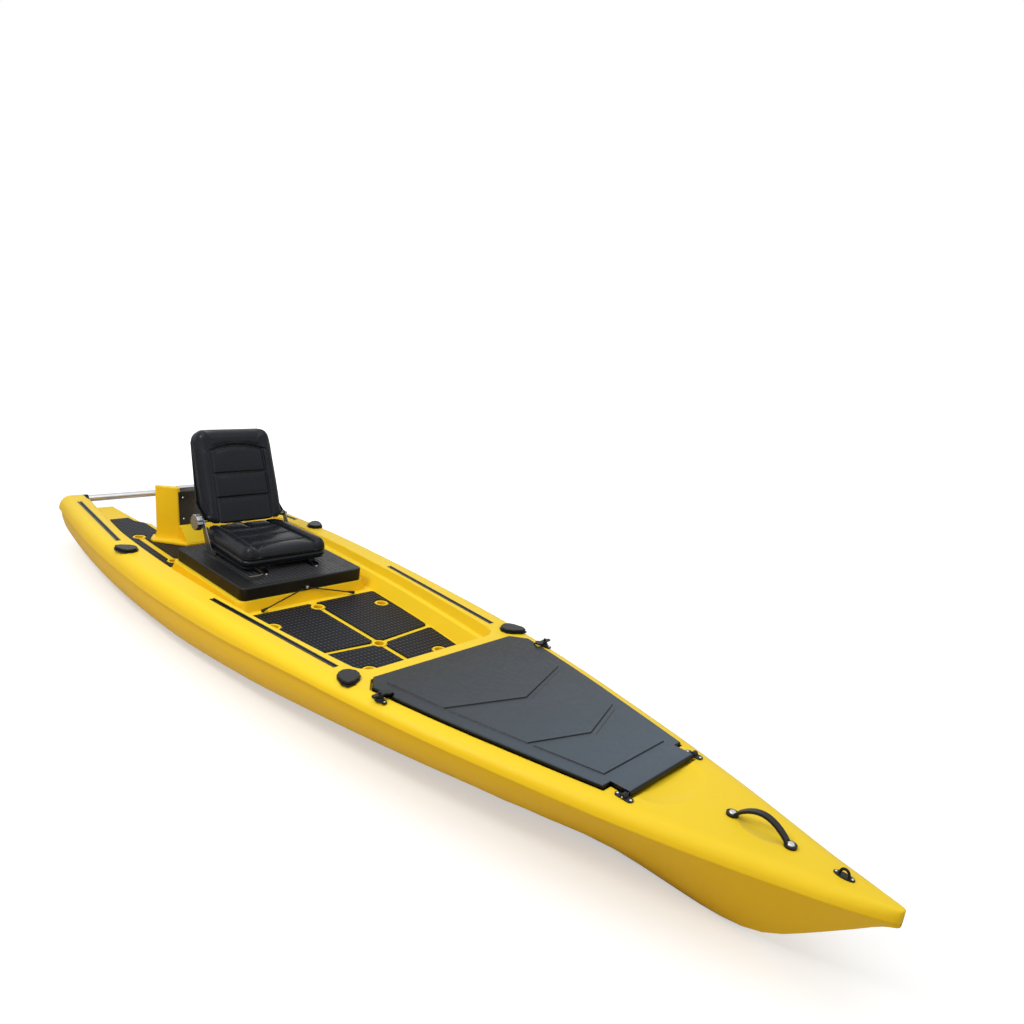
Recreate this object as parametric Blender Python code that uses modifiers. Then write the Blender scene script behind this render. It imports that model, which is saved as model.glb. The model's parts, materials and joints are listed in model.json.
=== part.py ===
"""Motorized fishing kayak: rotomoulded hull, hatch, sliding and reclining seat, gear tracks, motor mount.

Metres, +Z up, +X to the bow, +Y to port. The origin is under the middle of the overall box.
"""
import math

import bmesh
import bpy
from mathutils import Matrix, Vector

# Lengths along the boat, from the bow tip aft
BOW_DECK = 0.715  # bow tip to the hatch hinge axis
HATCH_LENGTH = 0.960  # hinge axis to the lid's rear edge
HATCH_TO_WELL = 0.065  # deck strip behind the lid
WELL_LENGTH = 2.560  # cockpit well, open at the stern
HULL_LENGTH = BOW_DECK + HATCH_LENGTH + HATCH_TO_WELL + WELL_LENGTH

# Hull lines. Stations are shares of the hull length, as on a table of offsets.
BEAM = 1.148
DECK_HEIGHT = 0.3005  # deck plane amidships, above the flat bottom
SHEER = 0.0088  # the deck rises this much a metre towards the bow
FLOOR_HEIGHT = 0.200
SHOULDER = 0.056  # width of the rounded gunwale
LIP = 0.010  # overhang of the gunwale above the side
KEEL_FLAT = 0.010  # least half width of the flat bottom
SIDE_DECK_FRONT = 0.149  # gunwale to cockpit well, at the foot wall
SIDE_DECK_STERN = 0.119
WALL_UPPER = 0.016  # how far the upper well wall leans in
LEDGE_WIDTH = 0.019
LEDGE_RISE = 0.056  # ledge above the floor
LEDGE_SLOPE = 0.006
WALL_LOWER = 0.038
WELL_CORNER = 0.075
BAY_HALF = 0.110  # bay in the foot wall
BAY_DEPTH = 0.022
BAY_RISE = 0.004
RIB_PLACES = (-0.070, 0.0, 0.070)
RIB_WIDTH = 0.024
RIB_DEPTH = 0.012
TRANSOM_RAKE = 0.100
TRANSOM_TOP = 0.215  # the rake starts this far above the bottom

# Along the hull, in shares of its length: half beam and flat bottom in shares of half the beam, style and keel
# lines in shares of the deck height, and the fullness of the section
HALF_BEAM = (
    (0.0, 0.012), (0.0015, 0.032), (0.006, 0.052), (0.028, 0.123), (0.060, 0.206), (0.120, 0.360),
    (0.180, 0.492),
    (0.240, 0.604), (0.300, 0.709), (0.360, 0.795), (0.430, 0.872), (0.500, 0.926), (0.570, 0.967),
    (0.640, 0.989),
    (0.700, 1.0), (0.770, 0.985), (0.840, 0.952), (0.910, 0.892), (1.0, 0.790),
)
STYLE_LINE = (
    (0.0, 0.948), (0.08, 0.905), (0.20, 0.889), (0.42, 0.872), (0.55, 0.785), (0.66, 0.739), (1.0, 0.712),
)
KEEL_LINE = (
    (0.0, 0.905), (0.008, 0.845), (0.022, 0.679), (0.044, 0.419), (0.064, 0.200), (0.080, 0.083),
    (0.098, 0.023),
    (0.125, 0.0), (1.0, 0.0),
)
FLAT_BOTTOM = (
    (0.0, 0.0), (0.26, 0.0), (0.35, 0.131), (0.44, 0.296), (0.545, 0.479), (0.66, 0.631), (0.76, 0.631),
    (0.85, 0.596), (1.0, 0.456),
)
FLAT_LIMIT = 0.75  # of the half beam
SHOULDER_LIMIT = 0.6
FULLNESS = ((0.0, 1.0), (0.16, 1.06), (0.27, 1.55), (0.35, 1.7), (0.44, 1.85), (0.54, 2.0), (1.0, 2.0))
BOW_STATIONS = (
    0.0, 0.0084, 0.025, 0.050, 0.084, 0.126, 0.175, 0.231, 0.294, 0.364, 0.441, 0.524, 0.615, 0.713, 0.818,
)  # shares of the bow deck
STATION_STEP = 0.105
SIDE_STEPS = 8
SHOULDER_STEPS = 5

# Hatch
LID_MARGIN = 0.073  # gunwale to lid edge
LID_THICK = 0.026
LID_PROUD = 0.016  # lid top above the deck
LID_CHAMFER = 0.060
LID_GAP = 0.005
LID_BEVEL = 0.006
HINGE_STRIP_HALF = 0.172
HINGE_STRIP_LENGTH = 0.062
HINGE_KNUCKLE = 0.009  # half thickness of the hinge strip at its axis
HINGE_AXIS_RISE = 0.006
HINGE_SCOOP = 0.0185
HINGE_HOLLOW = (0.115, 0.165, 0.018)  # shallow hollow in the deck ahead of the hinge
HINGE_HOLLOW_LIFT = 0.006
BRACKET_SIZE = (0.061, 0.025, 0.004)
BRACKET_GAP = 0.002
PIN_RADIUS = 0.003
PIN_INSERT = 0.018
PIN_CLEARANCE = 0.0004
SEAL_SECTION = (0.012, 0.0035)
RELIEF = 0.0035  # raised fields above the rim and the channels between them
RELIEF_SLOPE = 0.004
FIELD_FRONT = 0.098  # front edge of the raised fields behind the hinge axis
FIELD_REAR = 0.067  # rear edge ahead of the lid's rear edge
FIELD_SIDE = 0.060  # inside the lid's edge
CHANNEL_WIDTH = 0.022
CHANNEL_TIPS = (0.261, 0.544)  # channel tips behind the hinge axis
CHANNEL_SWEEP = math.radians(19)
HOLD_INSET = 0.055  # hold mouth inside the lid edge
HOLD_BOTTOM = 0.045
HOLD_DRAFT = 0.75

# Latches
LATCH_FROM_REAR = 0.128  # latch pivot ahead of the lid's rear edge
LATCH_EDGE = 0.040  # latch pivot inboard of the gunwale
LATCH_BASE_RADIUS = 0.017
LATCH_BASE_HEIGHT = 0.010
LATCH_LEVER_WIDTH = 0.017
LATCH_LEVER_THICK = 0.006
LATCH_ARM = 0.034  # pivot to the middle of the lever's round end
LATCH_END = 0.016
LATCH_TAB = 0.030
LATCH_NOTCH_GAP = 0.005
LATCH_CLEARANCE = 0.0006

# Rod holders
ROD_BORE = 0.0215
ROD_WALL = 0.0025
ROD_DEPTH = 0.150
ROD_TILT = math.radians(22)
ROD_FLANGE_RADIUS = 0.043
ROD_FLANGE_NOSE = 0.026
ROD_FLANGE_REACH = 0.045
ROD_FLANGE_THICK = 0.006
ROD_CAP_MARGIN = 0.005
ROD_CAP_THICK = 0.011
ROD_FRONT_FROM_WELL = 0.010
ROD_FRONT_EDGE = 0.078
ROD_REAR_STATION = 3.297
ROD_REAR_EDGE = 0.066

# Gear tracks
TRACK_WIDTH = 0.021
TRACK_HEIGHT = 0.0125
TRACK_SLOT = 0.008
TRACK_CHANNEL = 0.015
TRACK_LIP = 0.0025
TRACK_FLOOR = 0.003
TRACK_PROUD = 0.0015
TRACK_CLEARANCE = 0.001
TRACK_LENGTH_FRONT = 0.774
TRACK_LENGTH_REAR = 0.712
TRACK_FRONT_STATION = 1.822
TRACK_REAR_STATION = 3.452
TRACK_EDGE_FRONT = 0.104
TRACK_EDGE_REAR = 0.077

# Deck pads and scuppers
PAD_THICK = 0.006
PAD_GAP = 0.027  # bare floor between pads
PAD_FLOAT = 0.0004
PAD_WALL_GAP = 0.012
PAD_FRONT_START = 0.018  # behind the foot of the foot wall
PAD_SPLIT = 0.272
PAD_LEAN = 0.030  # the split runs forward towards the middle
PAD_CORNER = 0.010
PAD_FRONT_LENGTH = 0.720
PAD_SEAM = 0.004
PAD_AFT_START = 0.026  # behind the seat box
PAD_AFT_END = 0.260  # ahead of the stern
PAD_NOTCH_GAP = 0.026
PAD_TOWER_GAP = 0.003
PAD_SLOT_WIDTH = 0.034
SCUPPER_RADIUS = 0.0205
SCUPPER_RING = 0.033
SCUPPER_RISE = 0.005
SCUPPER_PAD_GAP = 0.0025
SCUPPER_FRONT_AT = 0.156  # behind the well's front end
SCUPPER_MIDDLE_AT = 0.201  # ahead of the seat box
SCUPPER_AFT_AT = 0.090  # behind the seat box
SCUPPER_STERN_AT = 0.588  # ahead of the stern
SCUPPER_CENTRE_FRONT_AT = 0.328  # behind the well's front end
SCUPPER_CENTRE_REAR_AT = 0.105  # ahead of the seat box
SCUPPER_FRONT_OUT = 0.6226  # shares of the floor's half width
SCUPPER_MIDDLE_OUT = 0.8239
SCUPPER_AFT_OUT = 0.7683
SCUPPER_STERN_OUT = 0.8049

# Seat plinth and base box
BOX_FRONT_AT = 0.3410  # share of the well ahead of the box
BOX_LENGTH = 0.607
BOX_WIDTH = 0.624
BOX_HEIGHT = 0.058
BOX_CORNER = 0.028
PLINTH_HEIGHT = 0.046
PLINTH_MARGIN = 0.020  # beside the box
PLINTH_MARGIN_ENDS = 0.006
PLINTH_SLOPE = 0.012
REST_GAP = 0.0003

# Seat
RAIL_SPREAD = 0.262  # between the rail centres
RAIL_LENGTH = 0.360
RAIL_START = 0.125  # behind the box front
RAIL_WIDTH = 0.034
RAIL_HEIGHT = 0.013
RAIL_WALL = 0.003
RAIL_LIP = 0.006
RAIL_PLAY = 0.001
UPPER_RAIL_LENGTH = 0.300
PAN_THICK = 0.003
PAN_WIDTH = 0.427
PAN_LENGTH = 0.395
SEAT_FRONT = 0.145  # cushion front behind the box front
CUSHION_WIDTH = 0.452
CUSHION_WIDTH_REAR = 0.400
CUSHION_LENGTH = 0.435
CUSHION_THICK = 0.078
BOLSTER_RISE = 0.018
BOLSTER_WIDTH = 0.074
SEAT_SEAMS = (0.095, 0.207, 0.318)  # behind the cushion's front edge
BACK_SEAMS = (0.094, 0.222, 0.340)  # below the cushion's top edge
BACK_BOLSTER = 0.064
SEAT_CROWN = 0.010
BACK_CROWN = 0.008
REAR_ROUND = 0.060  # the seat cushion rounds off further at its rear
CHANNEL_DEPTH = 0.006
SEAM_WIDTH = 0.006
EDGE_ROUND = 0.55  # share of the cushion's thickness
RIM_LOW, RIM_HIGH = 0.30, 0.42  # the cushion's widest line, in shares of its thickness
RECLINE = math.radians(23)
BACK_WIDTH_LOW = 0.408
BACK_WIDTH_TOP = 0.392
BACK_HEIGHT = 0.432
BACK_THICK = 0.070
SHELL_THICK = 0.010
BACK_OFFSET = 0.068  # back of the shell behind the recliner axis
PIVOT_AHEAD = 0.030  # recliner axis ahead of the cushion's rear
PIVOT_RISE = 0.108  # recliner axis above the cushion's underside
BACK_START = 0.008  # cushion starts this far up from the axis
EAR_PLATE = 0.004
EAR_LENGTH = 0.105
EAR_GAP = 0.0013
BRACKET_PLATE = 0.004
BRACKET_WIDTH = 0.026
BRACKET_ARM = (0.085, 0.125)  # the arm meets the foot this far ahead of the cushion's rear
BRACKET_FOOT = 0.018  # bracket below the pan
BRACKET_REACH = 0.165
SHAFT_RADIUS = 0.006
SHAFT_CLEARANCE = 0.0006
KNOB_RADIUS = 0.039
KNOB_THICK = 0.028
KNOB_FLUTES = 12
KNOB_FLUTE_DEPTH = 0.0035
LEVER_RADIUS = 0.004
LEVER_LENGTH = 0.050

# Motor mount
NOTCH_LENGTH = 0.650
NOTCH_HALF = 0.126
NOTCH_STEP_AT = 0.385  # ahead of the stern
NOTCH_STEP_LENGTH = 0.052
NOTCH_STEP_HALF = 0.160
NOTCH_STERN_HALF = 0.176
TOWER_FRONT = 0.170  # tower base ahead of the notch
TOWER_TOP = 0.474
TOWER_BASE_HALF = 0.135
TOWER_SIDE_GAP = 0.0985  # tower base to the edge of the floor
TOWER_BASE_THICK = 0.014
TOWER_PLATE_HALF = 0.126
TOWER_WING_HALF = 0.205
TOWER_WING_AFT = 0.086
TOWER_WALL = 0.038
TOWER_LEAN = 0.045
TOWER_FLARE = 0.018
APRON_TOP = 0.286
PLATE_THICK = 0.003
PLATE_HALF = 0.121
CAP_DEPTH = 0.018

# Stern tube
TUBE_RADIUS = 0.0185
TUBE_REACH = 0.056  # tube axis behind the stern
TUBE_HEIGHT = 0.240
TUBE_HALF = 0.285
ELBOW_RADIUS = 0.0235
ELBOW_SPREAD = 0.054
ELBOW_SOCKET = 0.022

# Bow fittings
HANDLE_FRONT_STATION = 0.301
HANDLE_SPAN = 0.174
HANDLE_RISE = 0.050
HANDLE_WIDTH = 0.022
HANDLE_THICK = 0.008
HANDLE_PAD_RADIUS = 0.018
HANDLE_CAP_RADIUS = 0.011
HANDLE_CAP_HEIGHT = 0.003
DISH_RADII = (0.075, 0.038, 0.012)
PADEYE_STATION = 0.154
PADEYE_LENGTH = 0.056
PADEYE_WIDTH = 0.026
PADEYE_BASE = 0.004
PADEYE_LOOP = 0.020
PADEYE_WIRE = 0.0035

# Bungee hold-down
BUNGEE_RADIUS = 0.003
BUNGEE_HALF = 0.225
BUNGEE_AHEAD = 0.040
BUNGEE_HOOK_RISE = 0.019  # hook above the box's underside
ANCHOR_RADIUS = 0.0075
ANCHOR_LENGTH = 0.030
ANCHOR_RISE = 0.004

STERN_REACH = TUBE_REACH + ELBOW_RADIUS
BOW_X = (HULL_LENGTH + STERN_REACH) / 2
SIDES = (("stbd", -1), ("port", 1))
OVERCUT = 0.05

YELLOW = (0.80, 0.50, 0.02)
for old in list(bpy.data.objects):
    bpy.data.objects.remove(old)
PARTS = bpy.data.collections.new("motorized_fishing_kayak")
CUTTERS = bpy.data.collections.new("cutters")
bpy.context.scene.collection.children.link(PARTS)
bpy.context.scene.collection.children.link(CUTTERS)
MATERIALS = {}


def material(name, colour, roughness, metallic=0.0):
    """A Principled material, made once a name."""
    if name not in MATERIALS:
        made = bpy.data.materials.new(name)
        made.use_nodes = True
        shader = made.node_tree.nodes["Principled BSDF"]
        shader.inputs["Base Color"].default_value = (*colour, 1)
        shader.inputs["Roughness"].default_value = roughness
        shader.inputs["Metallic"].default_value = metallic
        MATERIALS[name] = made
    return MATERIALS[name]


HULL_PLASTIC = material("hull_plastic", YELLOW, 0.45)
LID_PLASTIC = material("lid_plastic", (0.045, 0.055, 0.07), 0.45)
BLACK_PLASTIC = material("black_plastic", (0.012, 0.012, 0.014), 0.4)
BOX_PLASTIC = material("box_plastic", (0.018, 0.018, 0.02), 0.5)
RUBBER = material("rubber", (0.012, 0.012, 0.012), 0.7)
FOAM = material("foam", (0.014, 0.015, 0.018), 0.85)
VINYL = material("vinyl", (0.010, 0.011, 0.014), 0.38)
STEEL = material("steel", (0.55, 0.55, 0.56), 0.3, 1.0)
ALUMINIUM = material("aluminium", (0.72, 0.74, 0.76), 0.35, 1.0)
BLACK_STEEL = material("black_steel", (0.02, 0.02, 0.022), 0.4, 0.3)


def station(distance):
    """World X of a point this far behind the bow tip."""
    return BOW_X - distance


def empty(name, location, rotation=(0, 0, 0)):
    made = bpy.data.objects.new(name, None)
    made.location = location
    made.rotation_euler = rotation
    PARTS.objects.link(made)
    return made


DECK = empty("deck_frame", (0, 0, DECK_HEIGHT), (0, -math.atan(SHEER), 0))
FLOOR = empty("floor_frame", (0, 0, FLOOR_HEIGHT))


def add(name, mesh, finish, parent=None, cutter=False, location=(0, 0, 0), rotation=(0, 0, 0)):
    """Links a mesh as a named part, or as a hidden cutter."""
    made = bpy.data.objects.new(name, mesh)
    made.location = location
    made.rotation_euler = rotation
    made.parent = parent
    if cutter:
        CUTTERS.objects.link(made)
        made.hide_render = True
        made.display_type = "WIRE"
    else:
        PARTS.objects.link(made)
        mesh.materials.append(finish)
    return made


def from_bmesh(name, bm):
    bmesh.ops.recalc_face_normals(bm, faces=bm.faces[:])
    mesh = bpy.data.meshes.new(name)
    bm.to_mesh(mesh)
    bm.free()
    return mesh


def loft(name, rings, closed_ends=True):
    """A closed body through rings of equal counts of points."""
    bm = bmesh.new()
    rows = [[bm.verts.new(point) for point in ring] for ring in rings]
    count = len(rows[0])
    for near, far in zip(rows, rows[1:]):
        for i in range(count):
            j = (i + 1) % count
            bm.faces.new((near[i], near[j], far[j], far[i]))
    if closed_ends:
        bm.faces.new(rows[0])
        bm.faces.new(rows[-1])
    return from_bmesh(name, bm)


def mesh_of(curve):
    """The mesh of a curve, with its seams closed."""
    guide = bpy.data.objects.new(curve.name, curve)
    bpy.context.scene.collection.objects.link(guide)
    mesh = bpy.data.meshes.new_from_object(guide.evaluated_get(bpy.context.evaluated_depsgraph_get()))
    bpy.data.objects.remove(guide)
    bm = bmesh.new()
    bm.from_mesh(mesh)
    bmesh.ops.remove_doubles(bm, verts=bm.verts[:], dist=0.00001)
    return bm


def add_spline(curve, points):
    spline = curve.splines.new("POLY")
    spline.points.add(len(points) - 1)
    for target, point in zip(spline.points, points):
        target.co = (*point, 1)
    return spline


def prism(name, outline, low, high):
    """A flat outline in X and Y, thick from low to high: a filled 2D curve."""
    curve = bpy.data.curves.new(name, "CURVE")
    curve.dimensions = "2D"
    curve.fill_mode = "BOTH"
    curve.extrude = (high - low) / 2
    add_spline(curve, [(x, y, 0.0) for x, y in outline]).use_cyclic_u = True
    bm = mesh_of(curve)
    bmesh.ops.dissolve_limit(bm, angle_limit=0.001, verts=bm.verts[:], edges=bm.edges[:])
    bmesh.ops.translate(bm, verts=bm.verts[:], vec=(0, 0, (low + high) / 2))
    return from_bmesh(name, bm)


def block(name, size, centre=(0, 0, 0)):
    bm = bmesh.new()
    bmesh.ops.create_cube(bm, size=1.0, matrix=Matrix.Translation(centre) @ Matrix.Diagonal((*size, 1)))
    return from_bmesh(name, bm)


def rod(name, radius, length, centre=(0, 0, 0), axis="Z", sides=20, radius_end=None):
    """A cylinder or cone along an axis, centred."""
    turn = {"X": Matrix.Rotation(math.pi / 2, 4, "Y"), "Y": Matrix.Rotation(-math.pi / 2, 4, "X"),
        "Z": Matrix()}[axis]
    bm = bmesh.new()
    bmesh.ops.create_cone(
        bm, cap_ends=True, segments=sides, radius1=radius,
        radius2=radius if radius_end is None else radius_end,
        depth=length, matrix=Matrix.Translation(centre) @ turn,
    )
    return from_bmesh(name, bm)


def grown(outline, by):
    """A flat outline moved outwards along the normals of its edges."""
    area = sum(a[0] * b[1] - b[0] * a[1] for a, b in zip(outline, outline[1:] + outline[:1]))
    by = math.copysign(by, by * area)
    moved = []
    for i, point in enumerate(outline):
        before, after = outline[i - 1], outline[(i + 1) % len(outline)]
        one, two = Vector(point) - Vector(before), Vector(after) - Vector(point)
        one, two = Vector((one.y, -one.x)).normalized(), Vector((two.y, -two.x)).normalized()
        out = (one + two) / (1 + one.dot(two))
        moved.append((point[0] + out.x * by, point[1] + out.y * by))
    return moved


def blunted(outline, cut):
    """A flat outline with its sharp corners cut off."""
    points = []
    for i, point in enumerate(outline):
        here = Vector(point)
        back, ahead = Vector(outline[i - 1]) - here, Vector(outline[(i + 1) % len(outline)]) - here
        bend = math.pi - back.angle(ahead)
        if bend > math.radians(35) and min(back.length, ahead.length) > 2.5 * cut:
            points += [tuple(here + back.normalized() * cut), tuple(here + ahead.normalized() * cut)]
        else:
            points.append(point)
    return points


def arc(cx, cy, radius, start, end, steps):
    """Points on a circle, angles in degrees."""
    turns = (math.radians(start + (end - start) * i / steps) for i in range(steps + 1))
    return [(cx + radius * math.cos(a), cy + radius * math.sin(a)) for a in turns]


def rounded_box_outline(x0, x1, y0, y1, radius, steps=4):
    return (
        arc(x1 - radius, y1 - radius, radius, 0, 90, steps) + arc(x0 + radius, y1 - radius, radius, 90, 180,
        steps)
        + arc(x0 + radius, y0 + radius, radius, 180, 270, steps) + arc(x1 - radius, y0 + radius, radius, 270,
        360, steps)
    )


def tube(name, points, radius, finish, parent=None, resolution=2, location=(0, 0, 0)):
    """A round wire or pipe along a poly line, as a mesh with closed ends."""
    curve = bpy.data.curves.new(name, "CURVE")
    curve.dimensions = "3D"
    curve.bevel_depth = radius
    curve.bevel_resolution = resolution
    curve.use_fill_caps = True
    add_spline(curve, points)
    mesh = from_bmesh(name, mesh_of(curve))
    return add(name, mesh, finish, parent, location=location)


def boolean(target, cutter, operation="DIFFERENCE"):
    step = target.modifiers.new(operation.lower(), "BOOLEAN")
    step.operation = operation
    step.object = cutter
    step.solver = "EXACT"


def bevel(target, width, segments=2, angle=40):
    step = target.modifiers.new("bevel", "BEVEL")
    step.width = width
    step.segments = segments
    step.limit_method = "ANGLE"
    step.angle_limit = math.radians(angle)


def table(rows, share):
    """Smooth value at a share of the length, by a monotone cubic through the rows."""
    for i in range(len(rows) - 1):
        if share <= rows[i + 1][0] or i == len(rows) - 2:
            break
    (x0, y0), (x1, y1) = rows[i], rows[i + 1]

    def slope(k):
        if k == 0 or k == len(rows) - 1:
            a, b = (rows[0], rows[1]) if k == 0 else (rows[-2], rows[-1])
            return (b[1] - a[1]) / (b[0] - a[0])
        before = (rows[k][1] - rows[k - 1][1]) / (rows[k][0] - rows[k - 1][0])
        after = (rows[k + 1][1] - rows[k][1]) / (rows[k + 1][0] - rows[k][0])
        return 0.0 if before * after <= 0 else 2 * before * after / (before + after)

    width = x1 - x0
    t = min(max((share - x0) / width, 0.0), 1.0)
    s0, s1 = slope(i) * width, slope(i + 1) * width
    return (
        (2 * t**3 - 3 * t**2 + 1) * y0 + (t**3 - 2 * t**2 + t) * s0
        + (3 * t**2 - 2 * t**3) * y1 + (t**3 - t**2) * s1
    )


def share(x):
    return (BOW_X - x) / HULL_LENGTH


def half_beam(x):
    return BEAM / 2 * table(HALF_BEAM, min(max(share(x), 0.0), 1.0))


def deck_z(x):
    return DECK_HEIGHT + SHEER * x


def well_half(x):
    """Half width of the cockpit well at the deck."""
    behind = (station(HULL_LENGTH - WELL_LENGTH) - x) / WELL_LENGTH
    return half_beam(x) - SIDE_DECK_FRONT - (SIDE_DECK_STERN - SIDE_DECK_FRONT) * min(max(behind, 0.0), 1.0)


def hull_section(x):
    """Closed ring of the hull at one station, from the keel round to port and back by starboard."""
    at = share(x)
    beam, style, keel = half_beam(x), DECK_HEIGHT * table(STYLE_LINE, at), DECK_HEIGHT * table(KEEL_LINE, at)
    flat = min(max(table(FLAT_BOTTOM, at) * BEAM / 2, KEEL_FLAT), FLAT_LIMIT * beam)
    full = table(FULLNESS, at)
    shoulder = min(SHOULDER, SHOULDER_LIMIT * beam)
    top = deck_z(x)
    half = [(flat, keel)]
    for i in range(1, SIDE_STEPS + 1):
        turn = i / SIDE_STEPS * math.pi / 2
        out = flat + (beam - LIP - flat) * math.sin(turn) ** (2 / full)
        up = keel + (style - LIP / 2 - keel) * (1 - max(math.cos(turn), 0.0) ** (2 / full))
        half.append((out, up))
    for i in range(SHOULDER_STEPS + 1):
        turn = i / SHOULDER_STEPS * math.pi / 2
        half.append((beam - shoulder + shoulder * math.cos(turn), style + (top - style) * math.sin(turn)))
    port = [(x, y, z) for y, z in half]
    stbd = [(x, -y, z) for y, z in reversed(half)]
    return [(x, 0, keel)] + port + [(x, 0, top)] + stbd


def hull_stations():
    near_bow = [BOW_DECK * at for at in BOW_STATIONS]
    steps = math.ceil((HULL_LENGTH - near_bow[-1] - STATION_STEP / 2) / STATION_STEP)
    rest = [near_bow[-1] + (HULL_LENGTH - near_bow[-1]) * (i + 1) / steps for i in range(steps)]
    return [station(distance) for distance in near_bow + rest]


STERN_X = station(HULL_LENGTH)
WELL_FRONT = station(HULL_LENGTH - WELL_LENGTH)
WALL_OFFSETS = (0.0, WALL_UPPER, WALL_UPPER + LEDGE_WIDTH, WALL_UPPER + LEDGE_WIDTH + WALL_LOWER)
LEDGE_Z = FLOOR_HEIGHT + LEDGE_RISE
BOX_FRONT = WELL_FRONT - BOX_FRONT_AT * WELL_LENGTH
BOX_REAR = BOX_FRONT - BOX_LENGTH


def floor_half(x):
    """Half width of the cockpit floor."""
    return well_half(x) - WALL_OFFSETS[3]


def well_outline(offset):
    """The well's edge in plan, drawn in by an offset, from the stern up starboard and back by port."""
    front = WELL_FRONT - offset
    corner = max(WELL_CORNER - offset * 0.5, 0.02)
    half_front = well_half(front - corner) - offset
    count = 22
    behind = STERN_X - OVERCUT
    side = []
    for i in range(count + 1):
        x = behind + (front - corner - behind) * i / count
        side.append((x, -(well_half(x) - offset)))
    bend = arc(front - corner, -(half_front - corner), corner, -90, 0, 5)[1:]
    half = side + bend
    return half + [(x, -y) for x, y in reversed(half)]


def well_mesh():
    floor = [(x, y, FLOOR_HEIGHT) for x, y in well_outline(WALL_OFFSETS[3])]
    ledge_in = [(x, y, LEDGE_Z) for x, y in well_outline(WALL_OFFSETS[2])]
    ledge_out = [(x, y, LEDGE_Z + LEDGE_SLOPE) for x, y in well_outline(WALL_OFFSETS[1])]
    lean = WALL_UPPER / (DECK_HEIGHT - LEDGE_Z - LEDGE_SLOPE)
    above = [(x, y, deck_z(x) + OVERCUT) for x, y in well_outline(WALL_OFFSETS[0] - OVERCUT * lean)]
    return loft("well", [floor, ledge_in, ledge_out, above])


HINGE_X = station(BOW_DECK)
LID_REAR = HINGE_X - HATCH_LENGTH
LID_FRONT = HINGE_X - HINGE_STRIP_LENGTH
FOOT_X = WELL_FRONT - WALL_OFFSETS[3]
LID_FACE = LID_PROUD - RELIEF


def lid_panel_outline(grow=0.0):
    """Lid panel in plan, starboard then port."""
    front = LID_FRONT + grow
    rear = LID_REAR - grow
    steps = 6
    half = []
    for i in range(steps + 1):
        x = rear + LID_CHAMFER + (front - rear - LID_CHAMFER) * i / steps
        half.append((x, -(half_beam(x) - LID_MARGIN + grow)))
    rear_corner = (rear, -(half_beam(rear) - LID_MARGIN + grow - LID_CHAMFER))
    half = [rear_corner] + half
    return half + [(x, -y) for x, y in reversed(half)]


def lid_outline(grow=0.0):
    """The panel with the narrow hinge strip in front."""
    panel = lid_panel_outline(grow)
    half = panel[: len(panel) // 2]
    strip = HINGE_STRIP_HALF + grow
    half += [(LID_FRONT + grow, -strip), (HINGE_X, -strip)]
    return half + [(x, -y) for x, y in reversed(half)]


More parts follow.
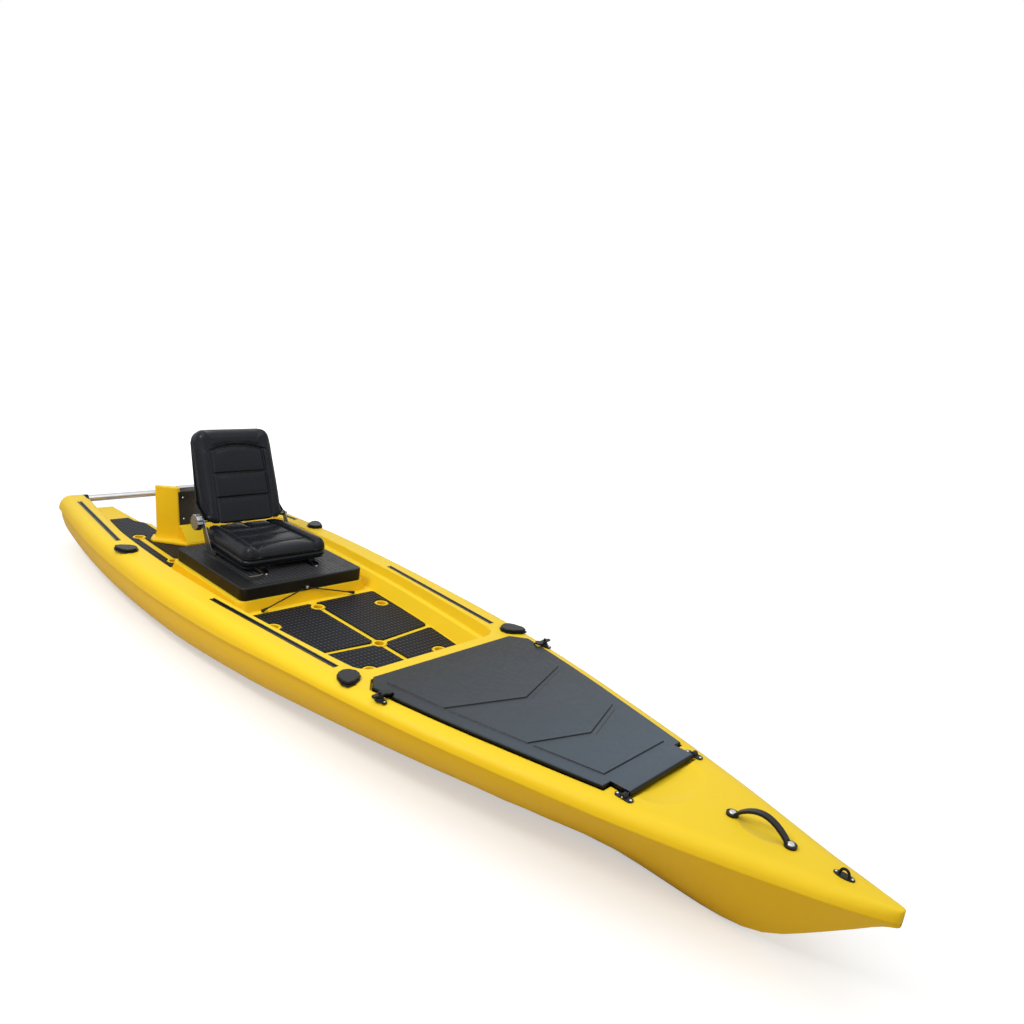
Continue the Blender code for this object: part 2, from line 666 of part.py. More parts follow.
def build_hull():
    hull = add("hull", loft("hull", [hull_section(x) for x in hull_stations()]), HULL_PLASTIC)

    plinth_front = BOX_FRONT + PLINTH_MARGIN_ENDS
    plinth_rear = BOX_REAR - PLINTH_MARGIN_ENDS
    plinth_half = BOX_WIDTH / 2 + PLINTH_MARGIN
    wide = rounded_box_outline(
        plinth_rear - PLINTH_SLOPE, plinth_front + PLINTH_SLOPE, -plinth_half - PLINTH_SLOPE,
        plinth_half + PLINTH_SLOPE, BOX_CORNER + PLINTH_MARGIN,
    )
    narrow = rounded_box_outline(plinth_rear, plinth_front, -plinth_half, plinth_half,
        BOX_CORNER + PLINTH_MARGIN)
    top = FLOOR_HEIGHT + PLINTH_HEIGHT
    plinth = loft("plinth", [[(x, y, FLOOR_HEIGHT - OVERCUT) for x, y in wide],
        [(x, y, FLOOR_HEIGHT) for x, y in wide],
                             [(x, y, top) for x, y in narrow]])

    boolean(hull, add("well_cutter", well_mesh(), None, cutter=True))
    boolean(hull, add("plinth_tool", plinth, None, cutter=True), "UNION")
    boolean(hull, add("ring_tool", join("rings", [
        rod("ring", SCUPPER_RING, SCUPPER_RISE * 2, (x, y, FLOOR_HEIGHT), radius_end=SCUPPER_RING - 0.003,
        sides=24)
        for x, y in scuppers()
    ]), None, cutter=True), "UNION")
    boolean(hull, add("notch_cutter", prism("notch", notch_outline(), -OVERCUT, DECK_HEIGHT + OVERCUT), None,
        cutter=True))
    boolean(hull, add("transom_cutter", transom_wedge(), None, cutter=True))
    bores = [rod("bore", SCUPPER_RADIUS, FLOOR_HEIGHT * 2, (x, y, FLOOR_HEIGHT / 2), sides=20) for x,
        y in scuppers()]
    boolean(hull, add("scupper_cutter", join("bores", bores), None, cutter=True))

    recess = prism("recess", lid_outline(LID_GAP), -(LID_THICK - LID_PROUD) - SEAL_SECTION[1] - REST_GAP,
        OVERCUT)
    boolean(hull, add("recess_cutter", recess, None, DECK, cutter=True))
    boolean(hull, add("hold_cutter", hold_mesh(), None, cutter=True))
    scoop = rod("scoop", HINGE_SCOOP, 2 * (HINGE_STRIP_HALF + LID_GAP), (HINGE_X, 0, HINGE_AXIS_RISE), "Y",
        20)
    boolean(hull, add("scoop_cutter", scoop, None, DECK, cutter=True))
    dish = bmesh.new()
    bmesh.ops.create_uvsphere(dish, u_segments=20, v_segments=12, radius=1.0,
                              matrix=Matrix.Diagonal((*DISH_RADII, 1)))
    dish_x = station(HANDLE_FRONT_STATION + HANDLE_SPAN / 2)
    boolean(hull, add("dish_cutter", from_bmesh("dish", dish), None, DECK, cutter=True,
        location=(dish_x, 0, 0.004)))

    grooves = []
    for x, y, turn, length in tracks():
        half, wide = length / 2 + TRACK_CLEARANCE, TRACK_WIDTH / 2 + TRACK_CLEARANCE
        bottom = TRACK_PROUD - TRACK_HEIGHT - REST_GAP
        groove = block("groove", (half * 2, wide * 2, OVERCUT - bottom), (0, 0, (OVERCUT + bottom) / 2))
        groove.transform(Matrix.Translation((x, y, 0)) @ Matrix.Rotation(turn, 4, "Z"))
        grooves.append(groove)
    boolean(hull, add("track_cutter", join("grooves", grooves), None, DECK, cutter=True))
    sockets = []
    for _, x, y, heading in rod_holders():
        socket = rod("socket", ROD_BORE + ROD_WALL + REST_GAP, (ROD_DEPTH + REST_GAP) * 2, sides=20)
        socket.transform(Matrix.Translation((x, y, 0)) @ Matrix.Rotation(heading, 4,
            "Z") @ Matrix.Rotation(ROD_TILT, 4, "Y"))
        sockets.append(socket)
    boolean(hull, add("socket_cutter", join("sockets", sockets), None, DECK, cutter=True))
    boolean(hull, add("bay_cutter", foot_wall_bay(), None, cutter=True))
    boolean(hull, add("rib_cutter", join("ribs", foot_wall_ribs()), None, cutter=True))
    hollow = bmesh.new()
    bmesh.ops.create_uvsphere(hollow, u_segments=28, v_segments=16, radius=1.0,
                              matrix=Matrix.Diagonal((*HINGE_HOLLOW, 1)))
    boolean(hull, add("hollow_cutter", from_bmesh("hollow", hollow), None, DECK, cutter=True,
                      location=(HINGE_X + HINGE_SCOOP, 0, HINGE_HOLLOW_LIFT)))
    return hull


def join(name, meshes):
    bm = bmesh.new()
    for mesh in meshes:
        bm.from_mesh(mesh)
        bpy.data.meshes.remove(mesh)
    return from_bmesh(name, bm)


def scuppers():
    """Scupper centres: eight in pairs and two on the centre line."""
    paired = (
        (WELL_FRONT - SCUPPER_FRONT_AT, SCUPPER_FRONT_OUT),
        (BOX_FRONT + SCUPPER_MIDDLE_AT, SCUPPER_MIDDLE_OUT),
        (BOX_REAR - SCUPPER_AFT_AT, SCUPPER_AFT_OUT), (STERN_X + SCUPPER_STERN_AT, SCUPPER_STERN_OUT),
    )
    found = [(x, side * out * floor_half(x)) for x, out in paired for _, side in SIDES]
    return found + [(WELL_FRONT - SCUPPER_CENTRE_FRONT_AT, 0.0), (BOX_FRONT + SCUPPER_CENTRE_REAR_AT, 0.0)]


def notch_outline():
    """Motor notch in plan, open past the stern."""
    inner = STERN_X + NOTCH_LENGTH
    step = STERN_X + NOTCH_STEP_AT
    round_off = 0.012
    half = [
        (STERN_X - OVERCUT, -NOTCH_STERN_HALF), (STERN_X, -NOTCH_STERN_HALF),
        (step - NOTCH_STEP_LENGTH, -NOTCH_STEP_HALF),
        (step, -NOTCH_HALF),
    ] + arc(inner - round_off, -(NOTCH_HALF - round_off), round_off, -90, 0, 3)
    return half + [(x, -y) for x, y in reversed(half)]


def transom_wedge():
    """Takes the stern away below the rim on a raked line."""
    wide = BEAM / 2 + OVERCUT
    low = -OVERCUT
    run = TRANSOM_RAKE * (TRANSOM_TOP - low) / TRANSOM_TOP
    back = STERN_X - OVERCUT
    side = [(back, TRANSOM_TOP), (STERN_X, TRANSOM_TOP), (STERN_X + run, low), (back, low)]
    return loft("transom", [[(x, -wide, z) for x, z in side], [(x, wide, z) for x, z in side]])


def hold_mesh():
    """The space under the hatch, narrower towards the bottom."""
    front = LID_FRONT - HOLD_INSET
    rear = LID_REAR + HOLD_INSET
    steps = 5
    xs = [rear + (front - rear) * i / steps for i in range(steps + 1)]
    mouth = [(x, -(half_beam(x) - LID_MARGIN - HOLD_INSET)) for x in xs]
    mouth += [(x, -y) for x, y in reversed(mouth)]
    middle = (front + rear) / 2
    low = []
    for x, y in mouth:
        drawn = middle + (x - middle) * 0.86
        low.append((drawn, y * HOLD_DRAFT * 0.8 * min(1.0, table(FULLNESS, share(x)) / 1.7), HOLD_BOTTOM))
    high = [(x, y, deck_z(x) + OVERCUT) for x, y in mouth]
    rim = [(x, y, deck_z(x) - LID_THICK) for x, y in mouth]
    return loft("hold", [low, rim, high])


def tracks():
    """Centre, heading and length of each gear track, in the deck plane."""
    found = []
    for start, length, edge in (
        (TRACK_FRONT_STATION, TRACK_LENGTH_FRONT, TRACK_EDGE_FRONT),
        (TRACK_REAR_STATION, TRACK_LENGTH_REAR, TRACK_EDGE_REAR)
    ):
        x0, x1 = station(start), station(start + length)
        y0, y1 = half_beam(x0) - edge, half_beam(x1) - edge
        for _, side in SIDES:
            turn = math.atan2(side * (y0 - y1), x0 - x1)
            found.append(((x0 + x1) / 2, side * (y0 + y1) / 2, turn, length))
    return found


def rod_holders():
    """Name, place in the deck plane and heading of each rod holder. The heading points to the narrow end."""
    found = []
    x = station(HULL_LENGTH - WELL_LENGTH) + ROD_FRONT_FROM_WELL
    for word, side in SIDES:
        found.append((f"front_{word}", x, side * (half_beam(x) - ROD_FRONT_EDGE), side * math.radians(38)))
    x = station(ROD_REAR_STATION)
    for word, side in SIDES:
        found.append((f"rear_{word}", x, side * (half_beam(x) - ROD_REAR_EDGE),
            math.pi - side * math.radians(38)))
    return found


def foot_wall_bay():
    """A bay in the middle of the foot wall, from the floor to the ledge."""
    top = LEDGE_Z + LEDGE_SLOPE + BAY_RISE
    side = [(FOOT_X - BAY_DEPTH, FLOOR_HEIGHT), (FOOT_X + BAY_DEPTH, FLOOR_HEIGHT),
            (WELL_FRONT - WALL_UPPER, top), (FOOT_X - BAY_DEPTH, top)]
    return loft("bay", [[(x, y, z) for x, z in side] for y in (-BAY_HALF, BAY_HALF)])


def foot_wall_ribs():
    """Grooves that leave upright ribs on the foot wall."""
    cuts = []
    foot = FOOT_X + BAY_DEPTH
    for y in RIB_PLACES:
        side = [
            (foot - RIB_DEPTH, FLOOR_HEIGHT + RIB_DEPTH), (foot + RIB_DEPTH, FLOOR_HEIGHT + RIB_DEPTH),
            (WELL_FRONT - WALL_UPPER, LEDGE_Z), (foot, LEDGE_Z),
        ]
        cuts.append(loft("rib", [[(x, y + end * RIB_WIDTH / 2, z) for x, z in side] for end in (-1, 1)]))
    return cuts


# Movable and fixed pieces on the deck
def build_hatch():
    low = -(LID_THICK - LID_PROUD)
    hinge_place = (HINGE_X, 0, HINGE_AXIS_RISE)
    lid = add("hatch_lid", lid_mesh(low), LID_PLASTIC, DECK, location=hinge_place)
    boolean(lid, add("lid_strip", hinge_strip_mesh(low), None, DECK, cutter=True, location=hinge_place),
        "UNION")
    for k, outline in enumerate(lid_fields()):
        low_ring = [(x, y, LID_FACE - REST_GAP - HINGE_AXIS_RISE) for x, y in grown(outline, RELIEF_SLOPE)]
        high_ring = [(x, y, LID_PROUD - HINGE_AXIS_RISE) for x, y in outline]
        field = loft("field", [low_ring, high_ring])
        boolean(lid, add(f"lid_field_{k}", field, None, DECK, cutter=True, location=hinge_place), "UNION")
    for word, side in SIDES:
        x, y = latch_place(side)
        notch = rod("latch_notch", LATCH_END + LATCH_NOTCH_GAP, 0.2, (x - HINGE_X, y - side * LATCH_ARM, 0),
            sides=24)
        boolean(lid, add(f"latch_notch_{word}", notch, None, DECK, cutter=True, location=hinge_place))
        bore_y = side * (HINGE_STRIP_HALF - PIN_INSERT / 2 + 0.002)
        bore = rod("pin_bore", PIN_RADIUS + PIN_CLEARANCE, PIN_INSERT + 0.006, (0, bore_y, 0), "Y", 12)
        boolean(lid, add(f"pin_bore_{word}", bore, None, DECK, cutter=True, location=hinge_place))

    outer, inner = lid_seal_outline(0.006), lid_seal_outline(0.006 + SEAL_SECTION[0])
    z0 = low - SEAL_SECTION[1]
    seal = add("hatch_seal", prism("hatch_seal", outer, z0, low - REST_GAP), RUBBER, DECK)
    boolean(seal, add("seal_cutter", prism("seal_hole", inner, z0 - 0.01, low + 0.01), None, DECK,
        cutter=True))

    for word, side in SIDES:
        build_hinge(word, side)
        build_latch(word, side)


def lid_seal_outline(inset):
    """Four-sided ring under the rim of the lid, clear of the hold's mouth."""
    front, rear = LID_FRONT - inset, LID_REAR + inset
    steps = 6
    half = [(rear, -(half_beam(rear) - LID_MARGIN - inset - LID_CHAMFER))]
    for i in range(steps + 1):
        x = rear + LID_CHAMFER + (front - rear - LID_CHAMFER) * i / steps
        half.append((x, -(half_beam(x) - LID_MARGIN - inset)))
    return half + [(x, -y) for x, y in reversed(half)]


def lid_mesh(low):
    """Lid panel with a rounded rim, in the frame of its hinge axis."""
    rings = []
    rim = [(LID_BEVEL * (1 - math.cos(a)), LID_FACE - LID_BEVEL * (1 - math.sin(a)))
           for a in (0.0, math.pi / 6, math.pi / 3, math.pi / 2)]
    for shrink, z in [(0.0, low)] + rim:
        rings.append([(x - HINGE_X, y, z - HINGE_AXIS_RISE) for x, y in lid_panel_outline(-shrink)])
    return loft("hatch_lid", rings)


def hinge_strip_mesh(low):
    """The narrow tongue that carries the lid on its hinge pins."""
    under = low - HINGE_AXIS_RISE + 0.001
    over = LID_FACE - HINGE_AXIS_RISE - REST_GAP
    back = -HINGE_STRIP_LENGTH - 0.010
    side = [(back, over), (back, under), (-HINGE_STRIP_LENGTH * 0.6, under)]
    side += arc(0, 0, HINGE_KNUCKLE, -100, 100, 8)
    half = HINGE_STRIP_HALF
    return loft("strip", [[(x, y, z) for x, z in side] for y in (-half, half)])


def lid_fields():
    """The three raised fields, parted by two swept channels, in the frame of the hinge axis."""
    front, rear = -FIELD_FRONT, LID_REAR - HINGE_X + FIELD_REAR
    half_channel = CHANNEL_WIDTH / 2
    sweep = math.tan(CHANNEL_SWEEP)

    def side_y(x):
        return half_beam(x + HINGE_X) - LID_MARGIN - FIELD_SIDE

    def wing(tip):
        """Where a swept line from this tip meets the side of the fields."""
        x = tip
        for _ in range(12):
            x = tip - sweep * side_y(x)
        return x, side_y(x)

    fields = []
    edges = [None] + [(-tip + half_channel, -tip - half_channel) for tip in CHANNEL_TIPS] + [None]
    for before, after in zip(edges, edges[1:]):
        fore = [(front, -side_y(front)), (front, side_y(front))] if before is None else None
        if fore is None:
            x, y = wing(before[1])
            fore = [(x, -y), (before[1], 0.0), (x, y)]
        if after is None:
            aft = [(rear, side_y(rear)), (rear, -side_y(rear))]
        else:
            x, y = wing(after[0])
            aft = [(x, y), (after[0], 0.0), (x, -y)]
        fields.append(fore + aft)
    return fields


def build_hinge(word, side):
    length, width, thick = BRACKET_SIZE
    y = side * (HINGE_STRIP_HALF + LID_GAP + BRACKET_GAP + width / 2)
    outline = rounded_box_outline(-length / 2, length / 2, -width / 2, width / 2, width / 2 - 0.001, 5)
    base = add(f"hatch_hinge_bracket_{word}", prism("bracket", outline, REST_GAP, thick), BLACK_PLASTIC, DECK,
               location=(HINGE_X, y, 0))
    knuckle = rod("knuckle", HINGE_KNUCKLE, width - 0.006, (0, 0, HINGE_AXIS_RISE), "Y", 16)
    boolean(base, add(f"knuckle_{word}", knuckle, None, DECK, cutter=True, location=(HINGE_X, y, 0)), "UNION")
    below = block("below", (length, width + 0.01, 0.04), (0, 0, REST_GAP - 0.02))
    boolean(base, add(f"knuckle_trim_{word}", below, None, DECK, cutter=True, location=(HINGE_X, y, 0)))
    through = rod("through", PIN_RADIUS + REST_GAP, width * 2, (0, 0, HINGE_AXIS_RISE), "Y", 12)
    boolean(base, add(f"pin_hole_{word}", through, None, DECK, cutter=True, location=(HINGE_X, y, 0)))
    inner = HINGE_STRIP_HALF - PIN_INSERT + 0.003
    outer = HINGE_STRIP_HALF + LID_GAP + BRACKET_GAP + width
    pin = rod("pin", PIN_RADIUS, outer - inner, (0, side * (outer + inner) / 2, 0), "Y", 12)
    add(f"hatch_hinge_pin_{word}", pin, STEEL, DECK, location=(HINGE_X, 0, HINGE_AXIS_RISE))


def latch_place(side):
    x = LID_REAR + LATCH_FROM_REAR
    return x, side * (half_beam(x) - LATCH_EDGE)


def build_latch(word, side):
    x, y = latch_place(side)
    puck = rod("latch_base", LATCH_BASE_RADIUS, LATCH_BASE_HEIGHT, (0, 0, REST_GAP + LATCH_BASE_HEIGHT / 2),
        sides=24,
               radius_end=LATCH_BASE_RADIUS - 0.003)
    base = add(f"hatch_latch_base_{word}", puck, BLACK_PLASTIC, DECK, location=(x, y, 0))
    ears = prism("ears", rounded_box_outline(-0.034, 0.034, -0.010, 0.010, 0.009, 4), REST_GAP, 0.005)
    boolean(base, add(f"latch_ears_{word}", ears, None, DECK, cutter=True, location=(x, y, 0)), "UNION")
    post = rod("latch_post", 0.005, 0.03, (0, 0, 0.015), sides=14)
    boolean(base, add(f"latch_post_{word}", post, None, DECK, cutter=True, location=(x, y, REST_GAP)),
        "UNION")

    low = LID_PROUD + LATCH_CLEARANCE
    half = LATCH_LEVER_WIDTH / 2
    neck = math.degrees(math.asin(half / LATCH_END))
    outline = [(px, side * py) for px, py in arc(0, -LATCH_ARM, LATCH_END, 90 + neck, 450 - neck, 14)]
    outline += [(half, side * LATCH_TAB * 0.6), (half * 0.7, side * LATCH_TAB)]
    outline += [(-half * 0.7, side * LATCH_TAB), (-half, side * LATCH_TAB * 0.6)]
    lever = add(f"hatch_latch_lever_{word}", prism("latch_lever", outline, low, low + LATCH_LEVER_THICK),
        BLACK_PLASTIC,
                DECK, location=(x, y, 0))
    boss = rod("latch_boss", 0.011, low + LATCH_LEVER_THICK - LATCH_BASE_HEIGHT - REST_GAP * 2,
               (0, 0, (low + LATCH_LEVER_THICK + LATCH_BASE_HEIGHT + REST_GAP * 2) / 2), sides=18)
    boolean(lever, add(f"latch_boss_{word}", boss, None, DECK, cutter=True, location=(x, y, 0)), "UNION")
    hole = rod("latch_hole", 0.005 + LATCH_CLEARANCE, 0.1, sides=14)
    boolean(lever, add(f"latch_hole_{word}", hole, None, DECK, cutter=True, location=(x, y, 0)))


def flange_outline(grow=0.0):
    """Faceted teardrop, narrow end towards +X."""
    big, small, reach = ROD_FLANGE_RADIUS + grow, ROD_FLANGE_NOSE + grow, ROD_FLANGE_REACH
    swing = math.degrees(math.acos((big - small) / reach))
    return arc(reach, 0, small, -swing, swing, 2) + arc(0, 0, big, swing, 360 - swing, 6)


def build_rod_holders():
    for name, x, y, heading in rod_holders():
        frame = empty(f"rod_holder_frame_{name}", (x, y, 0), (0, 0, heading))
        frame.parent = DECK
        tilt = Matrix.Rotation(ROD_TILT, 4, "Y")
        flange = add(f"rod_holder_{name}", prism("flange", flange_outline(), REST_GAP, ROD_FLANGE_THICK),
            BLACK_PLASTIC, frame)
        sleeve = rod("sleeve", ROD_BORE + ROD_WALL, ROD_DEPTH, (0, 0, -ROD_DEPTH / 2), sides=20)
        sleeve.transform(tilt)
        boolean(flange, add(f"sleeve_{name}", sleeve, None, frame, cutter=True), "UNION")
        above = block("above", (0.2, 0.2, 0.04), (0, 0, ROD_FLANGE_THICK + 0.02))
        boolean(flange, add(f"sleeve_trim_{name}", above, None, frame, cutter=True))
        bore = rod("bore", ROD_BORE, ROD_DEPTH, (0, 0, -ROD_DEPTH / 2 + 0.012 + ROD_WALL * 2), sides=20)
        bore.transform(tilt)
        boolean(flange, add(f"rod_bore_{name}", bore, None, frame, cutter=True))

        low = ROD_FLANGE_THICK + REST_GAP
        hinge = -(ROD_FLANGE_RADIUS - ROD_CAP_MARGIN)
        cap_mesh = prism("cap", flange_outline(-ROD_CAP_MARGIN), low, low + ROD_CAP_THICK)
        cap_mesh.transform(Matrix.Translation((-hinge, 0, -low)))
        cap = add(f"rod_holder_cap_{name}", cap_mesh, BLACK_PLASTIC, frame, location=(hinge, 0, low))
        bevel(cap, 0.002, 1)


def build_tracks():
    for (x, y, turn, length), name in zip(tracks(), ("front_stbd", "front_port", "rear_stbd", "rear_port")):
        half, slot, channel = TRACK_WIDTH / 2, TRACK_SLOT / 2, TRACK_CHANNEL / 2
        top = TRACK_PROUD
        low = TRACK_PROUD - TRACK_HEIGHT
        profile = [
            (half, low), (half, top), (slot, top), (slot, top - TRACK_LIP), (channel, top - TRACK_LIP),
            (channel, low + TRACK_FLOOR), (-channel, low + TRACK_FLOOR), (-channel, top - TRACK_LIP),
            (-slot, top - TRACK_LIP), (-slot, top), (-half, top), (-half, low),
        ]
        mesh = loft("track", [[(end * length / 2, y2, z) for y2, z in profile] for end in (-1, 1)])
        add(f"gear_track_{name}", mesh, BLACK_PLASTIC, DECK, location=(x, y, 0), rotation=(0, 0, turn))


def build_pads():
    """Foam pads on the cockpit floor, cut round the scuppers, the tower and the notch."""
    low = PAD_FLOAT
    high = PAD_FLOAT + PAD_THICK
    edge_offset = WALL_OFFSETS[3] + PAD_WALL_GAP

    def edge(x):
        return well_half(x) - edge_offset

    front = FOOT_X - PAD_FRONT_START
    rear = front - PAD_FRONT_LENGTH
    split = front - PAD_SPLIT
    gap = PAD_GAP / 2
    nose, bay = front + BAY_DEPTH, BAY_HALF - PAD_WALL_GAP
    for word, side in SIDES:
        fore = [(nose, gap), (nose, bay), (front, bay), (front, edge(front) - PAD_SEAM),
                (split + gap, edge(split + gap)), (split + gap + PAD_LEAN, gap)]
        aft = [(split - gap + PAD_LEAN, gap), (split - gap, edge(split - gap)),
               ((split + rear) / 2, edge((split + rear) / 2)), (rear, edge(rear)), (rear, gap)]
        for label, outline in (("front", fore), ("middle", aft)):
            flat = [(x, side * y) for x, y in blunted(outline, PAD_CORNER)]
            pad = add(f"deck_pad_{label}_{word}", prism("pad", flat, low, high), FOAM, FLOOR)
            cut_rings(pad)
        start = BOX_REAR - PAD_AFT_START
        end = STERN_X + PAD_AFT_END
        step = STERN_X + NOTCH_STEP_AT
        inner = STERN_X + NOTCH_LENGTH + PAD_NOTCH_GAP
        xs = [start + (end - start) * i / 5 for i in range(6)]
        outline = [(start, PAD_SEAM / 2)] + [(x, edge(x)) for x in xs]
        outline += [
            (end, NOTCH_STEP_HALF + PAD_NOTCH_GAP + 0.006),
            (step - NOTCH_STEP_LENGTH - 0.010, NOTCH_STEP_HALF + PAD_NOTCH_GAP),
            (step - 0.006, NOTCH_HALF + PAD_NOTCH_GAP), (inner, NOTCH_HALF + PAD_NOTCH_GAP),
            (inner, PAD_SEAM / 2),
        ]
        pad = add(f"deck_pad_aft_{word}", prism("pad", [(x, side * y) for x, y in outline], low, high), FOAM,
            FLOOR)
        cut_rings(pad)
        hug = prism("hug", tower_outline(PAD_TOWER_GAP), -0.02, 0.05)
        boolean(pad, add(f"tower_gap_{word}", hug, None, FLOOR, cutter=True))
        (xa, ya), (xb, yb) = (spot for spot in scuppers()[4:8] if spot[1] * side > 0)
        strip = block("strip", (abs(xa - xb), PAD_SLOT_WIDTH, 0.04))
        strip_cut = add(f"pad_strip_{word}", strip, None, FLOOR, cutter=True,
            location=((xa + xb) / 2, (ya + yb) / 2, 0),
                        rotation=(0, 0, math.atan2(ya - yb, xa - xb)))
        boolean(pad, strip_cut)


def cut_rings(pad):
    near = [
        rod("ring_gap", SCUPPER_RING + SCUPPER_PAD_GAP, 0.06, (x, y, 0), sides=24) for x, y in scuppers()
    ]
    boolean(pad, add(pad.name + "_rings", join("ring_gaps", near), None, FLOOR, cutter=True))


# Seat
BOX_LOW = FLOOR_HEIGHT + PLINTH_HEIGHT + REST_GAP
BOX_TOP = BOX_LOW + BOX_HEIGHT
RAIL_LOW = BOX_TOP + REST_GAP
RAIL_FRONT = BOX_FRONT - RAIL_START
UPPER_LOW = RAIL_LOW + RAIL_WALL + RAIL_PLAY
UPPER_TOP = RAIL_LOW + RAIL_HEIGHT + 0.008
PAN_LOW = UPPER_TOP + REST_GAP
CUSHION_LOW = PAN_LOW + PAN_THICK + REST_GAP
CUSHION_FRONT = BOX_FRONT - SEAT_FRONT
CUSHION_REAR = CUSHION_FRONT - CUSHION_LENGTH
PIVOT = Vector((CUSHION_REAR + PIVOT_AHEAD, 0, CUSHION_LOW + PIVOT_RISE))


def build_seat_base():
    base = add("seat_base_box", prism("box", rounded_box_outline(
        BOX_REAR, BOX_FRONT, -BOX_WIDTH / 2, BOX_WIDTH / 2, BOX_CORNER, 5), BOX_LOW, BOX_TOP), BOX_PLASTIC)
    bevel(base, 0.004, 2, 60)


def build_rails():
    for word, side in SIDES:
        y = side * RAIL_SPREAD / 2
        w, wall, lip = RAIL_WIDTH / 2, RAIL_WALL, RAIL_LIP
        top = RAIL_HEIGHT
        lower = [(-w, 0), (w, 0), (w, top), (w - lip, top), (w - lip, top - wall), (w - wall, top - wall),
            (w - wall, wall),
                 (-w + wall, wall), (-w + wall, top - wall), (-w + lip, top - wall), (-w + lip, top),
                 (-w, top)]
        mesh = loft("lower_rail", [[(x, y2, z) for y2, z in lower] for x in (RAIL_FRONT - RAIL_LENGTH,
            RAIL_FRONT)])
        add(f"seat_rail_lower_{word}", mesh, STEEL, location=(0, y, RAIL_LOW))
        foot = w - wall - RAIL_PLAY
        neck = w - lip - RAIL_PLAY
        start = UPPER_LOW - RAIL_LOW
        shelf = top - wall - RAIL_PLAY
        head = UPPER_TOP - RAIL_LOW
        upper = [(-foot, start), (foot, start), (foot, shelf), (neck, shelf), (neck, top + RAIL_PLAY),
            (w, top + RAIL_PLAY),
                 (w, head), (-w, head), (-w, top + RAIL_PLAY), (-neck, top + RAIL_PLAY), (-neck, shelf),
                 (-foot, shelf)]
        front = RAIL_FRONT - (RAIL_LENGTH - UPPER_RAIL_LENGTH) / 2
        mesh = loft("upper_rail", [[(x, y2, z) for y2, z in upper] for x in (front - UPPER_RAIL_LENGTH,
            front)])
        add(f"seat_rail_upper_{word}", mesh, STEEL, location=(0, y, RAIL_LOW))

    pan_front = CUSHION_FRONT - (CUSHION_LENGTH - PAN_LENGTH) / 2
    outline = rounded_box_outline(pan_front - PAN_LENGTH, pan_front, -PAN_WIDTH / 2, PAN_WIDTH / 2, 0.02)
    add("seat_pan", prism("pan", outline, PAN_LOW, PAN_LOW + PAN_THICK), BLACK_STEEL)

    pivot = Vector((RAIL_FRONT - 0.040, -RAIL_SPREAD / 2 - RAIL_WIDTH / 2 - LEVER_RADIUS - 0.002,
        PAN_LOW - LEVER_RADIUS - 0.001))
    route = [(-0.060, 0, 0), (0.0, 0, 0), (0.050, -0.002, -0.002), (0.070, -0.012, -0.003),
        (0.078, -0.030, -0.003),
             (0.080, -0.030 - LEVER_LENGTH, -0.002)]
    tube("seat_slide_lever", route, LEVER_RADIUS, STEEL, location=pivot)


def superellipse(half_x, half_y, power, count):
    """Closed rounded-rectangle outline."""
    points = []
    for i in range(count):
        turn = 2 * math.pi * (i + 0.5) / count
        c, s = math.cos(turn), math.sin(turn)
        points.append((
            half_x * math.copysign(abs(c) ** (2 / power), c), half_y * math.copysign(abs(s) ** (2 / power), s)
        ))
    return points


